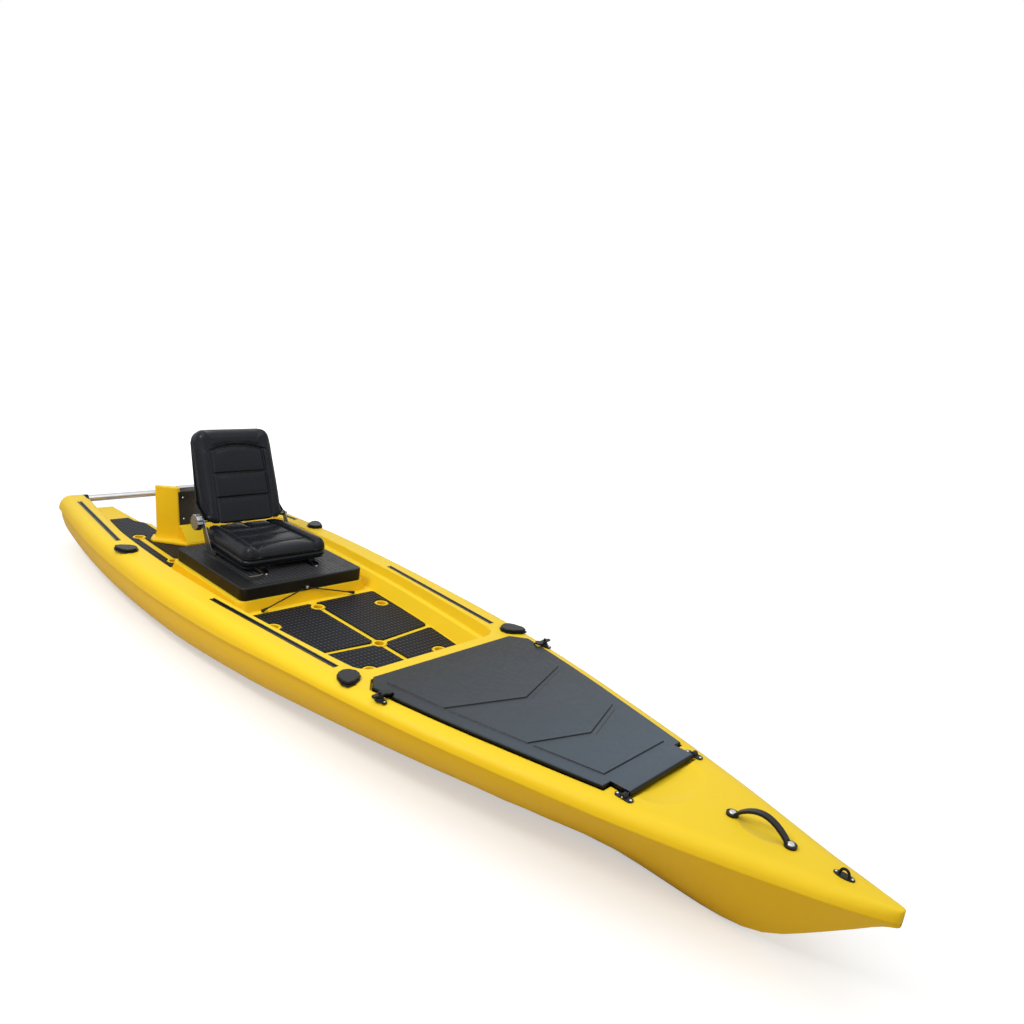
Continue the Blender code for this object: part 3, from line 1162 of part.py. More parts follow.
def cushion_mesh(name, length, width_low, width_high, thick, seams, crown, border, rear_round, count=14,
    rows=18):
    """Padded slab with side bolsters and sewn cross channels, lying flat with its length along X."""
    bm = bmesh.new()

    def surface(u, v, top):
        wide = width_low + (width_high - width_low) * (u + 1) / 2
        corner = (1 - abs(u) ** 5) ** 0.2 if abs(u) < 1 else 0.0
        round_x = (1 - abs(v) ** 5) ** 0.2 if abs(v) < 1 else 0.0
        x = u * length / 2 * (0.94 + 0.06 * round_x)
        y = v * wide / 2 * (0.94 + 0.06 * corner)
        edge = min((1 - abs(u)) * length / 2 / (rear_round if u < 0 and top else thick * EDGE_ROUND),
                   (1 - abs(v)) * wide / 2 / (thick * EDGE_ROUND), 1.0)
        fall = math.sqrt(max(1 - (1 - edge) ** 2, 0.0))
        if not top:
            return Vector((x, y, thick * RIM_LOW * (1 - fall)))
        centre = (wide / 2 - abs(y)) / border
        bolster = BOLSTER_RISE * max(0.0, 1 - abs(centre - 0.5) * 1.25)
        seam = 0.0
        for at in seams:
            seam = max(seam, math.exp(-(((u - at) * length / 2) / SEAM_WIDTH) ** 2))
        inside = 1.0 if centre > 1 else 0.0
        side_seam = math.exp(-((centre - 1) * border / SEAM_WIDTH) ** 2)
        dip = CHANNEL_DEPTH * max(seam * inside, side_seam)
        rise = crown * (1 - u * u) * (1 - v * v)
        return Vector((x, y, thick * RIM_HIGH + (thick * (1 - RIM_HIGH) + bolster - dip + rise) * fall))

    us = sorted({round(-1 + 2 * i / rows, 4) for i in range(rows + 1)} | {at for at in seams})
    edge_v = 1 - 2 * border / max(width_low, width_high)
    vs = sorted({round(-1 + 2 * i / count, 4) for i in range(count + 1)} | {edge_v, -edge_v})
    grids = []
    for top in (True, False):
        grids.append([[bm.verts.new(surface(u, v, top)) for v in vs] for u in us])
    for grid, flip in ((grids[0], False), (grids[1], True)):
        for i in range(len(us) - 1):
            for j in range(len(vs) - 1):
                corners = (grid[i][j], grid[i + 1][j], grid[i + 1][j + 1], grid[i][j + 1])
                bm.faces.new(corners if flip else corners[::-1])
    ring = [(0, j) for j in range(len(vs))] + [(i, len(vs) - 1) for i in range(1, len(us))]
    ring += [(len(us) - 1, j) for j in range(len(vs) - 2, -1, -1)] + [(i, 0) for i in range(len(us) - 2, 0,
        -1)]
    for (a, b), (c, d) in zip(ring, ring[1:] + ring[:1]):
        bm.faces.new((grids[0][a][b], grids[0][c][d], grids[1][c][d], grids[1][a][b]))
    return from_bmesh(name, bm)


def build_cushions():
    seams = [1 - 2 * at / CUSHION_LENGTH for at in SEAT_SEAMS]
    mesh = cushion_mesh("seat_cushion", CUSHION_LENGTH, CUSHION_WIDTH_REAR, CUSHION_WIDTH, CUSHION_THICK,
        seams,
                        SEAT_CROWN, BOLSTER_WIDTH, REAR_ROUND)
    add("seat_cushion", mesh, VINYL, location=((CUSHION_FRONT + CUSHION_REAR) / 2, 0, CUSHION_LOW))

    back = empty("backrest_frame", PIVOT, (math.pi, -(math.pi / 2 + RECLINE), 0))
    seams = [1 - 2 * at / BACK_HEIGHT for at in BACK_SEAMS]
    mesh = cushion_mesh("backrest_cushion", BACK_HEIGHT, BACK_WIDTH_LOW, BACK_WIDTH_TOP, BACK_THICK, seams,
                        BACK_CROWN, BACK_BOLSTER, BACK_THICK * EDGE_ROUND)
    mesh.transform(Matrix.Translation((BACK_START + BACK_HEIGHT / 2, 0,
        SHELL_THICK + REST_GAP - BACK_OFFSET)))
    add("backrest_cushion", mesh, VINYL, back)
    ear_y = PAN_WIDTH / 2 + REST_GAP - EAR_GAP
    half_low, half_top = ear_y - EAR_PLATE / 2, BACK_WIDTH_TOP / 2 - 0.012
    x0, x1 = BACK_START, BACK_START + BACK_HEIGHT - 0.014
    corner = 0.035
    outline = [(x0, -half_low), (x1 - corner, -half_top), (x1, -half_top + corner), (x1, half_top - corner),
               (x1 - corner, half_top), (x0, half_low)]
    shell = add("backrest_shell", prism("shell", outline, -BACK_OFFSET, SHELL_THICK - BACK_OFFSET),
        BLACK_PLASTIC, back)
    for word, side in SIDES:
        reach = BRACKET_WIDTH / 2
        side_view = arc(0, 0, reach, -180, 60, 6)
        side_view += [(EAR_LENGTH, SHELL_THICK - BACK_OFFSET), (EAR_LENGTH, -BACK_OFFSET + 0.001),
            (0.0, -BACK_OFFSET + 0.001)]
        ear = loft("ear", [[(x, side * y, z) for x, z in side_view] for y in (ear_y - EAR_PLATE, ear_y)])
        boolean(shell, add(f"backrest_ear_{word}", ear, None, back, cutter=True), "UNION")
        hole = rod("ear_hole", SHAFT_RADIUS + SHAFT_CLEARANCE, 0.05, (0, side * ear_y, 0), "Y", 16)
        boolean(shell, add(f"ear_hole_{word}", hole, None, back, cutter=True))


def build_recliner():
    for word, side in SIDES:
        y = side * (PAN_WIDTH / 2 + REST_GAP)
        low = PAN_LOW - BRACKET_FOOT
        top = CUSHION_LOW - 0.001
        rear = CUSHION_REAR - 0.001
        reach = BRACKET_WIDTH / 2
        near, far = (rear + at for at in BRACKET_ARM)
        slant = math.degrees(math.atan2(PIVOT.z - top, (near + far) / 2 - PIVOT.x))
        side_view = [(rear + BRACKET_REACH, low), (rear + BRACKET_REACH, top), (far, top)]
        side_view += arc(PIVOT.x, PIVOT.z, reach, 90 - slant, 270 - slant, 8) + [(near, low)]
        outer = y + side * BRACKET_PLATE
        plate = loft("bracket", [[(px, y, pz) for px, pz in side_view],
            [(px, outer, pz) for px, pz in side_view]])
        bracket = add(f"recliner_bracket_{word}", plate, STEEL)
        hole = rod("shaft_hole", SHAFT_RADIUS + SHAFT_CLEARANCE, 0.05, (PIVOT.x, y, PIVOT.z), "Y", 16)
        boolean(bracket, add(f"shaft_hole_{word}", hole, None, cutter=True))
    reach = CUSHION_WIDTH / 2 + 0.004
    shaft = rod("shaft", SHAFT_RADIUS, reach * 2, (0, 0, 0), "Y", 16)
    add("recliner_shaft", shaft, STEEL, location=PIVOT)
    knob_y = -(reach + REST_GAP + KNOB_THICK / 2)
    outline = []
    for i in range(KNOB_FLUTES * 4):
        turn = 2 * math.pi * i / (KNOB_FLUTES * 4)
        radius = KNOB_RADIUS - KNOB_FLUTE_DEPTH * (0.5 - 0.5 * math.cos(turn * KNOB_FLUTES))
        outline.append((radius * math.cos(turn), radius * math.sin(turn)))
    rings = []
    for depth, shrink in ((-0.5, 0.90), (-0.42, 1.0), (0.30, 1.0), (0.5, 0.93)):
        rings.append([(x * shrink, -depth * KNOB_THICK, z * shrink) for x, z in outline])
    add("recliner_knob", loft("knob", rings), ALUMINIUM, location=(PIVOT.x, knob_y, PIVOT.z))


# Motor mount
NOTCH_FRONT = STERN_X + NOTCH_LENGTH
TOWER_LOW = FLOOR_HEIGHT + REST_GAP


def tower_outline(grow=0.0):
    """Base of the tower in plan."""
    front = NOTCH_FRONT + TOWER_FRONT + grow
    wide = floor_half(NOTCH_FRONT) - TOWER_SIDE_GAP + grow
    half = [
        (front, -TOWER_BASE_HALF + 0.004), (NOTCH_FRONT + 0.040, -wide), (NOTCH_FRONT + 0.010, -wide),
        (NOTCH_FRONT - 0.050, -TOWER_WING_HALF - grow), (NOTCH_FRONT - 0.050 - grow, -NOTCH_HALF - 0.010),
        (NOTCH_FRONT + 0.004, -NOTCH_HALF - 0.010),
        (NOTCH_FRONT + 0.010, -NOTCH_HALF + 0.02),
    ]
    half = list(reversed(half))
    return half + [(x, -y) for x, y in reversed(half)]


def build_tower():
    base = tower_outline()
    low = TOWER_LOW
    slab = low + TOWER_BASE_THICK
    tower = add("motor_mount_tower", prism("tower", base, low, slab), HULL_PLASTIC)

    def wall(front_x, spread, z):
        """Angled wall in plan: wing, transom, wing."""
        plate, wing = TOWER_PLATE_HALF + spread * 0.3, TOWER_WING_HALF + spread
        aft = front_x - TOWER_WALL
        tip = front_x - TOWER_WING_AFT
        half = [
            (front_x + spread * 0.4, -plate), (tip + 0.012 + spread * 0.4, -wing),
            (tip - 0.012, -wing + 0.012), (aft, -plate + 0.012),
        ]
        fore = [half[0], half[1], half[2], half[3]]
        return fore + [(x, -y) for x, y in reversed(fore)]

    foot_x = NOTCH_FRONT + TOWER_LEAN + 0.030
    top_x = NOTCH_FRONT + 0.030
    rings = [
        [(x, y, low + 0.002) for x, y in wall(foot_x, TOWER_FLARE, low)],
        [(x, y, slab + 0.030) for x, y in wall(foot_x - 0.006, 0.004, slab)],
        [(x, y, TOWER_TOP) for x, y in wall(top_x, 0.0, TOWER_TOP)],
    ]
    boolean(tower, add("tower_wall", loft("wall", rings), None, cutter=True), "UNION")
    apron_front = NOTCH_FRONT + TOWER_FRONT - 0.006
    side = [(apron_front, low + 0.004), (apron_front, slab + 0.004), (foot_x + 0.010, APRON_TOP),
        (foot_x - 0.030, APRON_TOP),
            (foot_x - 0.030, low + 0.004)]
    half = TOWER_BASE_HALF - 0.010
    apron = loft("apron", [[(x, -half, z) for x, z in side], [(x, half, z) for x, z in side]])
    boolean(tower, add("tower_apron", apron, None, cutter=True), "UNION")
    groove = block("apron_groove", (0.100, 0.026, 0.05), (apron_front - 0.030, 0, slab + 0.030))
    boolean(tower, add("tower_groove", groove, None, cutter=True))

    plate_low = APRON_TOP + REST_GAP
    x_low = face_x(plate_low)
    x_top = face_x(TOWER_TOP)
    gap, thick = REST_GAP, PLATE_THICK
    front_side = [(x_low + gap, plate_low), (x_low + gap + thick, plate_low),
        (x_top + gap + thick, TOWER_TOP - CAP_DEPTH - 0.001),
                  (x_top + gap, TOWER_TOP - CAP_DEPTH - 0.001)]
    shift = (x_low - x_top) * CAP_DEPTH / (TOWER_TOP - plate_low)
    front_side[2] = (front_side[2][0] + shift, front_side[2][1])
    front_side[3] = (front_side[3][0] + shift, front_side[3][1])
    plate = loft("plate", [[(x, y, z) for x, z in front_side] for y in (-PLATE_HALF, PLATE_HALF)])
    add("transom_plate", plate, STEEL)
    aft_x = NOTCH_FRONT + 0.030 - TOWER_WALL
    cap_low = TOWER_TOP - CAP_DEPTH
    fx = face_x(cap_low)
    cap_side = [
        (fx + gap, cap_low), (fx + gap + thick, cap_low), (x_top + gap + thick, TOWER_TOP + gap + thick),
        (aft_x - gap - thick, TOWER_TOP + gap + thick), (aft_x - gap - thick, cap_low),
        (aft_x - gap, cap_low),
        (aft_x - gap, TOWER_TOP + gap), (x_top + gap, TOWER_TOP + gap),
    ]
    half = PLATE_HALF - 0.008
    cap = loft("cap", [[(x, y, z) for x, z in cap_side] for y in (-half, half)])
    add("transom_cap", cap, ALUMINIUM)


def face_x(z):
    """Front face of the tower's transom at a height."""
    foot_x = NOTCH_FRONT + TOWER_LEAN + 0.030 - 0.006 + 0.004 * 0.4
    foot_z = TOWER_LOW + TOWER_BASE_THICK + 0.030
    top_x = NOTCH_FRONT + 0.030
    return foot_x + (top_x - foot_x) * (z - foot_z) / (TOWER_TOP - foot_z)


def build_stern_tube():
    x = STERN_X - TUBE_REACH
    tube_end = TUBE_HALF + ELBOW_SOCKET * 0.6
    bar = rod("bar", TUBE_RADIUS, tube_end * 2, (0, 0, 0), "Y", 24)
    add("stern_tube", bar, ALUMINIUM, location=(x, 0, TUBE_HEIGHT))
    for word, side in SIDES:
        y0 = side * TUBE_HALF
        y1 = side * (TUBE_HALF + ELBOW_SPREAD)
        bend = side * 0.030
        points = [(0, y0, 0), (0, y0 + bend * 0.8, 0), (0.004, y0 + bend * 1.1, 0),
            (0.012, y0 + bend * 1.45, 0),
                  (0.026, y1 - side * 0.006, 0), (TUBE_REACH - 0.0008, y1 + side * 0.012, 0)]
        elbow = tube(f"stern_elbow_{word}", points, ELBOW_RADIUS, BLACK_PLASTIC, resolution=3,
            location=(x, 0, TUBE_HEIGHT))
        bore = rod("socket", TUBE_RADIUS + REST_GAP, ELBOW_SOCKET * 2, (x, y0, TUBE_HEIGHT), "Y", 24)
        boolean(elbow, add(f"elbow_bore_{word}", bore, None, cutter=True))
        flat = block("flat", (0.1, 0.2, 0.2), (STERN_X + 0.05 - 0.0005, y1, TUBE_HEIGHT))
        boolean(elbow, add(f"elbow_trim_{word}", flat, None, cutter=True))


def build_bow():
    front = station(HANDLE_FRONT_STATION)
    rear = front - HANDLE_SPAN
    middle = (front + rear) / 2
    half, rise, thick = HANDLE_SPAN / 2, HANDLE_RISE, HANDLE_THICK
    steps = 12
    under, over = [], []
    for i in range(steps + 1):
        t = -1 + 2 * i / steps
        z = rise * math.cos(t * math.pi / 2) ** 0.8 if abs(t) < 1 else 0.0
        under.append((t * half * 0.94, max(z - thick / 2, REST_GAP)))
        over.append((t * half * 0.98, z + thick / 2 + REST_GAP))
    arch_side = under + list(reversed(over))
    arch = loft("arch", [[(x, y, z) for x, z in arch_side] for y in (-HANDLE_WIDTH / 2, HANDLE_WIDTH / 2)])
    handle = add("bow_handle", arch, BLACK_PLASTIC, DECK, location=(middle, 0, 0))
    for end in (-1, 1):
        pad = rod("pad", HANDLE_PAD_RADIUS, 0.008, (0, 0, REST_GAP + 0.004), sides=24)
        boolean(handle, add(f"handle_pad_{end}", pad, None, DECK, cutter=True,
            location=(middle + end * half, 0, 0)), "UNION")
        cap = rod("cap", HANDLE_CAP_RADIUS, HANDLE_CAP_HEIGHT, (0, 0, HANDLE_CAP_HEIGHT / 2), sides=20,
                  radius_end=HANDLE_CAP_RADIUS * 0.8)
        name = "front" if end > 0 else "rear"
        clear = rod("clear", HANDLE_CAP_RADIUS + REST_GAP, 0.08, (0, 0, REST_GAP + 0.008 + 0.04), sides=20)
        boolean(handle, add(f"handle_cap_clear_{name}", clear, None, DECK, cutter=True,
            location=(middle + end * half, 0, 0)))
        add(f"bow_handle_cap_{name}", cap, STEEL, DECK,
            location=(middle + end * half, 0, 0.008 + REST_GAP * 2))

    x = station(PADEYE_STATION)
    outline = [(px * 1.0, py) for px, py in superellipse(PADEYE_LENGTH / 2, PADEYE_WIDTH / 2, 2.0, 24)]
    base = add("bow_padeye", prism("padeye", outline, REST_GAP, PADEYE_BASE), BLACK_PLASTIC, DECK,
        location=(x, 0, 0))
    loop = bmesh.new()
    ring_steps, wire_steps = 18, 8
    rows = []
    for i in range(ring_steps):
        turn = 2 * math.pi * i / ring_steps
        row = []
        for j in range(wire_steps):
            around = 2 * math.pi * j / wire_steps
            out = PADEYE_LOOP * 0.62 + PADEYE_WIRE * math.cos(around)
            row.append(loop.verts.new((out * math.cos(turn), PADEYE_WIRE * math.sin(around),
                out * 1.25 * math.sin(turn))))
        rows.append(row)
    for i in range(ring_steps):
        for j in range(wire_steps):
            a, b = rows[i], rows[(i + 1) % ring_steps]
            k = (j + 1) % wire_steps
            loop.faces.new((a[j], a[k], b[k], b[j]))
    ring = add("padeye_loop", from_bmesh("padeye_loop", loop), None, DECK, cutter=True,
        location=(x, 0, 0.006))
    boolean(base, ring, "UNION")
    trim = block("trim", (0.1, 0.1, 0.04), (0, 0, REST_GAP - 0.02))
    boolean(base, add("padeye_trim", trim, None, DECK, cutter=True, location=(x, 0, 0)))


def build_bungee():
    hook_z = BOX_LOW + BUNGEE_HOOK_RISE
    hook_x = BOX_FRONT + REST_GAP
    stem = rod("hook", 0.004, 0.012, (0.006, 0, 0), "X", 14)
    hook = add("bungee_hook", stem, STEEL, location=(hook_x, 0, hook_z))
    head = rod("hook_head", 0.008, 0.003, (0.0125, 0, 0), "X", 16)
    boolean(hook, add("hook_head", head, None, cutter=True, location=(hook_x, 0, hook_z)), "UNION")
    cord_x = hook_x + 0.0055
    cord_z = hook_z - 0.004 - BUNGEE_RADIUS - REST_GAP
    anchor_x = BOX_FRONT + BUNGEE_AHEAD
    anchor_z = FLOOR_HEIGHT + ANCHOR_RADIUS + ANCHOR_RISE
    ends = []
    for word, side in SIDES:
        tip = Vector((anchor_x, side * BUNGEE_HALF, anchor_z))
        toward = Vector((cord_x, 0, cord_z)) - tip
        direction = toward.normalized()
        body = rod("anchor", ANCHOR_RADIUS, ANCHOR_LENGTH, (0, 0, 0), "Z", 16, ANCHOR_RADIUS * 0.6)
        body.transform(direction.to_track_quat("Z", "Y").to_matrix().to_4x4())
        add(f"bungee_anchor_{word}", body, BLACK_PLASTIC, location=tip)
        ends.append(tip + direction * (ANCHOR_LENGTH / 2 + REST_GAP))
    route = []
    bend = 0.020
    for end, side in ((ends[0], -1), (ends[1], 1)):
        turn = Vector((cord_x + 0.0012, side * bend, cord_z))
        leg = [end.lerp(turn, i / 12) for i in range(12)]
        near = [Vector((cord_x + 0.0012 * (k / 3) ** 2, side * bend * k / 3, cord_z)) for k in (3, 2, 1)]
        leg += near
        route.append(leg)
    points = route[0] + [Vector((cord_x, 0, cord_z))] + list(reversed(route[1]))
    tube("bungee_cord", points, BUNGEE_RADIUS, RUBBER)


build_hull()
build_hatch()
build_rod_holders()
build_tracks()
build_pads()
build_seat_base()
build_rails()
build_cushions()
build_recliner()
build_tower()
build_stern_tube()
build_bow()
build_bungee()

for part in PARTS.objects:
    if part.type == "MESH":
        part.data.set_sharp_from_angle(angle=math.radians(35))
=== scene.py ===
import json
import math

import bmesh
import bpy
from mathutils import Matrix, Vector, noise


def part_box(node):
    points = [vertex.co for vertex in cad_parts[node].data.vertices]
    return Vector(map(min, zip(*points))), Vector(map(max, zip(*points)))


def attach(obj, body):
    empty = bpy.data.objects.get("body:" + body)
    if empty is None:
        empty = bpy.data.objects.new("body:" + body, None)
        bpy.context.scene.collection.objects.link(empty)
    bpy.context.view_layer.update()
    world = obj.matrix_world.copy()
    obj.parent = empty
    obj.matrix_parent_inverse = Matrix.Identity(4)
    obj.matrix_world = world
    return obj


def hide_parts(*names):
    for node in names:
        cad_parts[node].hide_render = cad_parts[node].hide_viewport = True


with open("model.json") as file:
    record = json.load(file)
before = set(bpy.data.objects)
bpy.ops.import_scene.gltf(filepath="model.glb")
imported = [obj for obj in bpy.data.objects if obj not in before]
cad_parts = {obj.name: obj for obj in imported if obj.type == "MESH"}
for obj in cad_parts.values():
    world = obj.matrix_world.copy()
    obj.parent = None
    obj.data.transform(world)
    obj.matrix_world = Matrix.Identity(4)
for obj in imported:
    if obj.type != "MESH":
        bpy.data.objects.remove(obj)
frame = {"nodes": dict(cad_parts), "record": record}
NODES = frame["nodes"]
SLOTS = {row["node"]: row["material_slot"] for row in frame["record"]["subparts"]}
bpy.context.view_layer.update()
SIDES = ("stbd", "port")

# Camera, at the viewpoint solved from the lower picture
EYE = Vector((2.51575, -2.021, 1.631))
AHEAD = Vector((-0.639, 0.7276, -0.250)).normalized()
RIGHTWARD = Vector((0.722, 0.6792, 0.1318))
FOCAL_PIXELS, PICTURE_PIXELS = 819.1, 1024
SENSOR_WIDTH = 36


def place_camera():
    across = (RIGHTWARD - RIGHTWARD.dot(AHEAD) * AHEAD).normalized()
    up = across.cross(AHEAD)
    camera = bpy.data.objects.new("camera", bpy.data.cameras.new("camera"))
    bpy.context.scene.collection.objects.link(camera)
    turn = Matrix((across, up, -AHEAD)).transposed().to_4x4()
    camera.matrix_world = Matrix.Translation(EYE) @ turn
    camera.data.sensor_width = SENSOR_WIDTH
    camera.data.lens = SENSOR_WIDTH * FOCAL_PIXELS / PICTURE_PIXELS
    camera.data.clip_end = 60
    bpy.context.scene.camera = camera


place_camera()

# Materials
CELL_SHIFT = 64.0  # whole cells added, so that a repeat never starts below zero


class Shader:
    """Node tree of one material, with short calls for its nodes."""

    def __init__(self, name, colour, roughness, metallic=0.0, **fixed):
        self.made = bpy.data.materials.new(name)
        self.made.use_nodes = True
        self.tree = self.made.node_tree
        self.out = self.tree.nodes["Principled BSDF"]
        self.out.inputs["Base Color"].default_value = (*colour, 1)
        self.out.inputs["Roughness"].default_value = roughness
        self.out.inputs["Metallic"].default_value = metallic
        for socket, value in fixed.items():
            self.out.inputs[socket.replace("_", " ")].default_value = value
        self.colour = colour
        coordinates = self.node("ShaderNodeTexCoord")
        self.where = coordinates.outputs["Object"]
        self.normal = coordinates.outputs["Normal"]

    def node(self, kind, links=None, **settings):
        made = self.tree.nodes.new(kind)
        for key, value in settings.items():
            setattr(made, key, value)
        for socket, source in (links or {}).items():
            target = made.inputs[socket]
            if isinstance(source, bpy.types.NodeSocket):
                self.tree.links.new(source, target)
            else:
                target.default_value = source
        return made

    def feed(self, socket, source):
        self.tree.links.new(source, self.out.inputs[socket])

    def noise(self, scale, detail=3.0, rough=0.5, where=None):
        links = {"Vector": where or self.where, "Scale": scale, "Detail": detail, "Roughness": rough}
        return self.node("ShaderNodeTexNoise", links).outputs["Fac"]

    def stretched(self, scale):
        links = {"Vector": self.where, "Scale": scale}
        return self.node("ShaderNodeMapping", links).outputs["Vector"]

    def remap(self, source, low, high, first=0.0, last=1.0, **settings):
        """Source values first to last turned into low to high."""
        links = {"Value": source, "From Min": first, "From Max": last, "To Min": low, "To Max": high}
        return self.node("ShaderNodeMapRange", links, **settings).outputs["Result"]

    def maths(self, operation, a, b=0.0):
        return self.node("ShaderNodeMath", {0: a, 1: b}, operation=operation).outputs[0]

    def product(self, first, *rest):
        for factor in rest:
            first = self.maths("MULTIPLY", first, factor)
        return first

    def axis(self, letter, vector=None):
        made = self.node("ShaderNodeSeparateXYZ", {"Vector": vector or self.where})
        return made.outputs[letter]

    def cell(self, letter, pitch):
        """Distance from the middle of cells repeated along an axis, 0 to 0.5."""
        count = self.maths("ADD", self.maths("MULTIPLY", self.axis(letter), 1 / pitch), CELL_SHIFT)
        share = self.maths("FRACT", count)
        return self.maths("ABSOLUTE", self.maths("SUBTRACT", share, 0.5))

    def mix(self, factor, low, high, **settings):
        """Blend of two colours, each three values or a socket."""
        links = {"Factor": factor}
        for socket, end in ((6, low), (7, high)):
            links[socket] = (*end, 1) if isinstance(end, tuple) else end
        return self.node("ShaderNodeMix", links, data_type="RGBA", **settings).outputs[2]

    def roughness(self, source, low, high):
        self.feed("Roughness", self.remap(source, low, high, 0.3, 0.7))

    def tint(self, source, low, high):
        """Base colour between two shares of its own value."""
        ends = [tuple(min(part * share, 1.0) for part in self.colour) for share in (low, high)]
        self.feed("Base Color", self.mix(source, *ends))

    def shade(self, reach, least, first, last):
        """Paints shade into the base colour in grooves and bores narrower than the reach."""
        held = self.out.inputs["Base Color"].links[0].from_socket
        occlusion = self.node("ShaderNodeAmbientOcclusion", {"Distance": reach}, samples=8)
        share = self.remap(occlusion.outputs["AO"], least, 1.0, first, last)
        self.feed("Base Color", self.mix(share, (0, 0, 0), held))

    def relief(self, *layers, soft=0.0):
        """Bump layers as (height source, depth in metres), over edges rounded by the shader."""
        normal = None
        if soft:
            normal = self.node("ShaderNodeBevel", {"Radius": soft}, samples=6).outputs["Normal"]
        for source, depth in layers:
            links = {"Height": source, "Distance": depth, "Strength": 1.0}
            if normal:
                links["Normal"] = normal
            normal = self.node("ShaderNodeBump", links).outputs["Normal"]
        self.feed("Normal", normal)


def hull_plastic():
    """Yellow, with light painted in: a deeper orange on the sides as painted shade, a paler lemon on the
    faces that look up as painted light, and painted shade in its narrow bores.
    """
    # painted light and shade: side is the hull colour as if shaded, top as if lit from above, blended by how
    # far a face turns up
    side, top = (0.88, 0.515, 0.003), (0.90, 0.630, 0.022)
    s = Shader("hull_plastic", (0.90, 0.60, 0.010), 0.42, Specular_IOR_Level=0.18)
    upward = s.axis("Z", s.normal)
    s.feed("Base Color", s.mix(s.remap(upward, 0.0, 1.0, -0.1, 0.95), side, top))
    # painted shade darkens the narrow bores and grooves
    s.shade(0.035, 0.22, 0.05, 0.45)
    s.roughness(s.noise(40, 3), 0.36, 0.48)
    s.relief((s.noise(14, 2), 0.0012), (s.noise(420, 3, 0.6), 0.00022), soft=0.007)
    return s.made


def lid_plastic():
    """Dark slate, its colour painted with a sheen from darker grey at the rear to lighter blue-grey at the
    bow, and with painted shade on the slopes round its raised fields.
    """
    rear, bow, groove_shade = (0.013, 0.015, 0.017), (0.058, 0.080, 0.104), (0.001, 0.001, 0.0015)
    s = Shader("lid_plastic", (0.030, 0.041, 0.054), 0.40, Specular_IOR_Level=0.22)
    # painted sheen: the colour lightens from the rear towards the bow
    fade = s.remap(s.axis("X"), 0.0, 1.0, 0.55, 1.40)
    fade = s.maths("ADD", fade, s.remap(s.noise(2.5, 4), -0.08, 0.08))
    sheen_colour = s.mix(fade, rear, bow, clamp_factor=True)
    # painted shade on the sloped sides of the raised fields
    flatness = s.maths("ABSOLUTE", s.axis("Z", s.normal))
    s.feed("Base Color", s.mix(s.remap(flatness, 0.0, 1.0, 0.86, 0.975), groove_shade, sheen_colour))
    s.roughness(s.noise(60, 4), 0.34, 0.44)
    s.relief((s.noise(9, 2), 0.0010), (s.noise(600, 3, 0.6), 0.00018), soft=0.0008)
    return s.made


def black_plastic():
    s = Shader("black_plastic", (0.009, 0.0095, 0.011), 0.32, Specular_IOR_Level=0.22)
    s.roughness(s.noise(120, 3), 0.30, 0.46)
    s.relief((s.noise(900, 3, 0.6), 0.00012), soft=0.002)
    return s.made


def box_plastic():
    """Moulded box with a tread of small raised pads on the open part of its top, the pads painted lighter as
    a highlight and the gaps between them darker as shade.
    """
    pitch_x, pitch_y, half_width, front_margin = 0.020, 0.022, 0.2325, 0.025
    s = Shader("box_plastic", (0.0085, 0.0088, 0.0095), 0.42, Specular_IOR_Level=0.22)
    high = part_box("seat_base_box")[1]
    pads = [s.remap(s.cell(letter, pitch), 1.0, 0.0, 0.30, 0.42)
            for letter, pitch in (("X", pitch_x), ("Y", pitch_y))]
    on_top = high.z - 0.002
    within = [s.maths("LESS_THAN", s.maths("ABSOLUTE", s.axis("Y")), half_width),
              s.maths("LESS_THAN", s.axis("X"), high.x - front_margin),
              s.maths("GREATER_THAN", s.axis("Z"), on_top)]
    tread = s.product(*pads, *within)
    # painted highlight on the raised pads and painted shade in the gaps between them
    s.tint(tread, 0.75, 5.0)
    s.roughness(s.noise(70, 4), 0.32, 0.48)
    s.relief((s.noise(500, 3, 0.6), 0.00020), (tread, 0.0030), soft=0.006)
    return s.made


def rubber():
    s = Shader("rubber", (0.009, 0.009, 0.010), 0.70, Specular_IOR_Level=0.25)
    s.relief((s.noise(700, 2), 0.0001), soft=0.001)
    return s.made


def foam():
    """Closed-cell foam embossed with rows of raised diamonds, painted lighter at their middles as a highlight
    and darker between them as shade.
    """
    pitch_x, pitch_y = 0.024, 0.018
    s = Shader("foam", (0.0075, 0.0090, 0.0130), 0.46, Specular_IOR_Level=0.10)
    reach = [s.maths("MULTIPLY", s.cell(letter, pitch), 2.0)
             for letter, pitch in (("X", pitch_x), ("Y", pitch_y))]
    diamond = s.remap(s.maths("ADD", *reach), 1.0, 0.0, 0.30, 0.90)
    # painted highlight on the diamonds and painted shade between them
    s.tint(diamond, 0.35, 5.5)
    s.relief((diamond, 0.0020), (s.noise(1500, 2), 0.0002))
    return s.made


def vinyl():
    s = Shader("vinyl", (0.0075, 0.0090, 0.0125), 0.30, Specular_IOR_Level=0.17)
    s.tint(s.noise(12, 4), 0.8, 1.25)
    s.roughness(s.noise(90, 4), 0.25, 0.34)
    s.relief((s.noise(26, 2), 0.0010))
    return s.made


def metal(name, colour, rough, grain, brushed="X"):
    """Metal brushed along an axis, its roughness varied by the grain."""
    along, over = 12, 900
    s = Shader(name, colour, rough, 1.0)
    scale = [along if letter == brushed else over for letter in "XYZ"]
    streaks = s.noise(1.0, 3, 0.6, s.stretched(scale))
    s.roughness(streaks, rough - grain, rough + grain)
    s.relief((streaks, 0.00004), soft=0.0012)
    return s.made


def black_steel():
    s = Shader("black_steel", (0.012, 0.012, 0.013), 0.36, Specular_IOR_Level=0.35)
    s.roughness(s.noise(150, 3), 0.30, 0.46)
    s.relief((s.noise(300, 3), 0.00012), soft=0.0012)
    return s.made


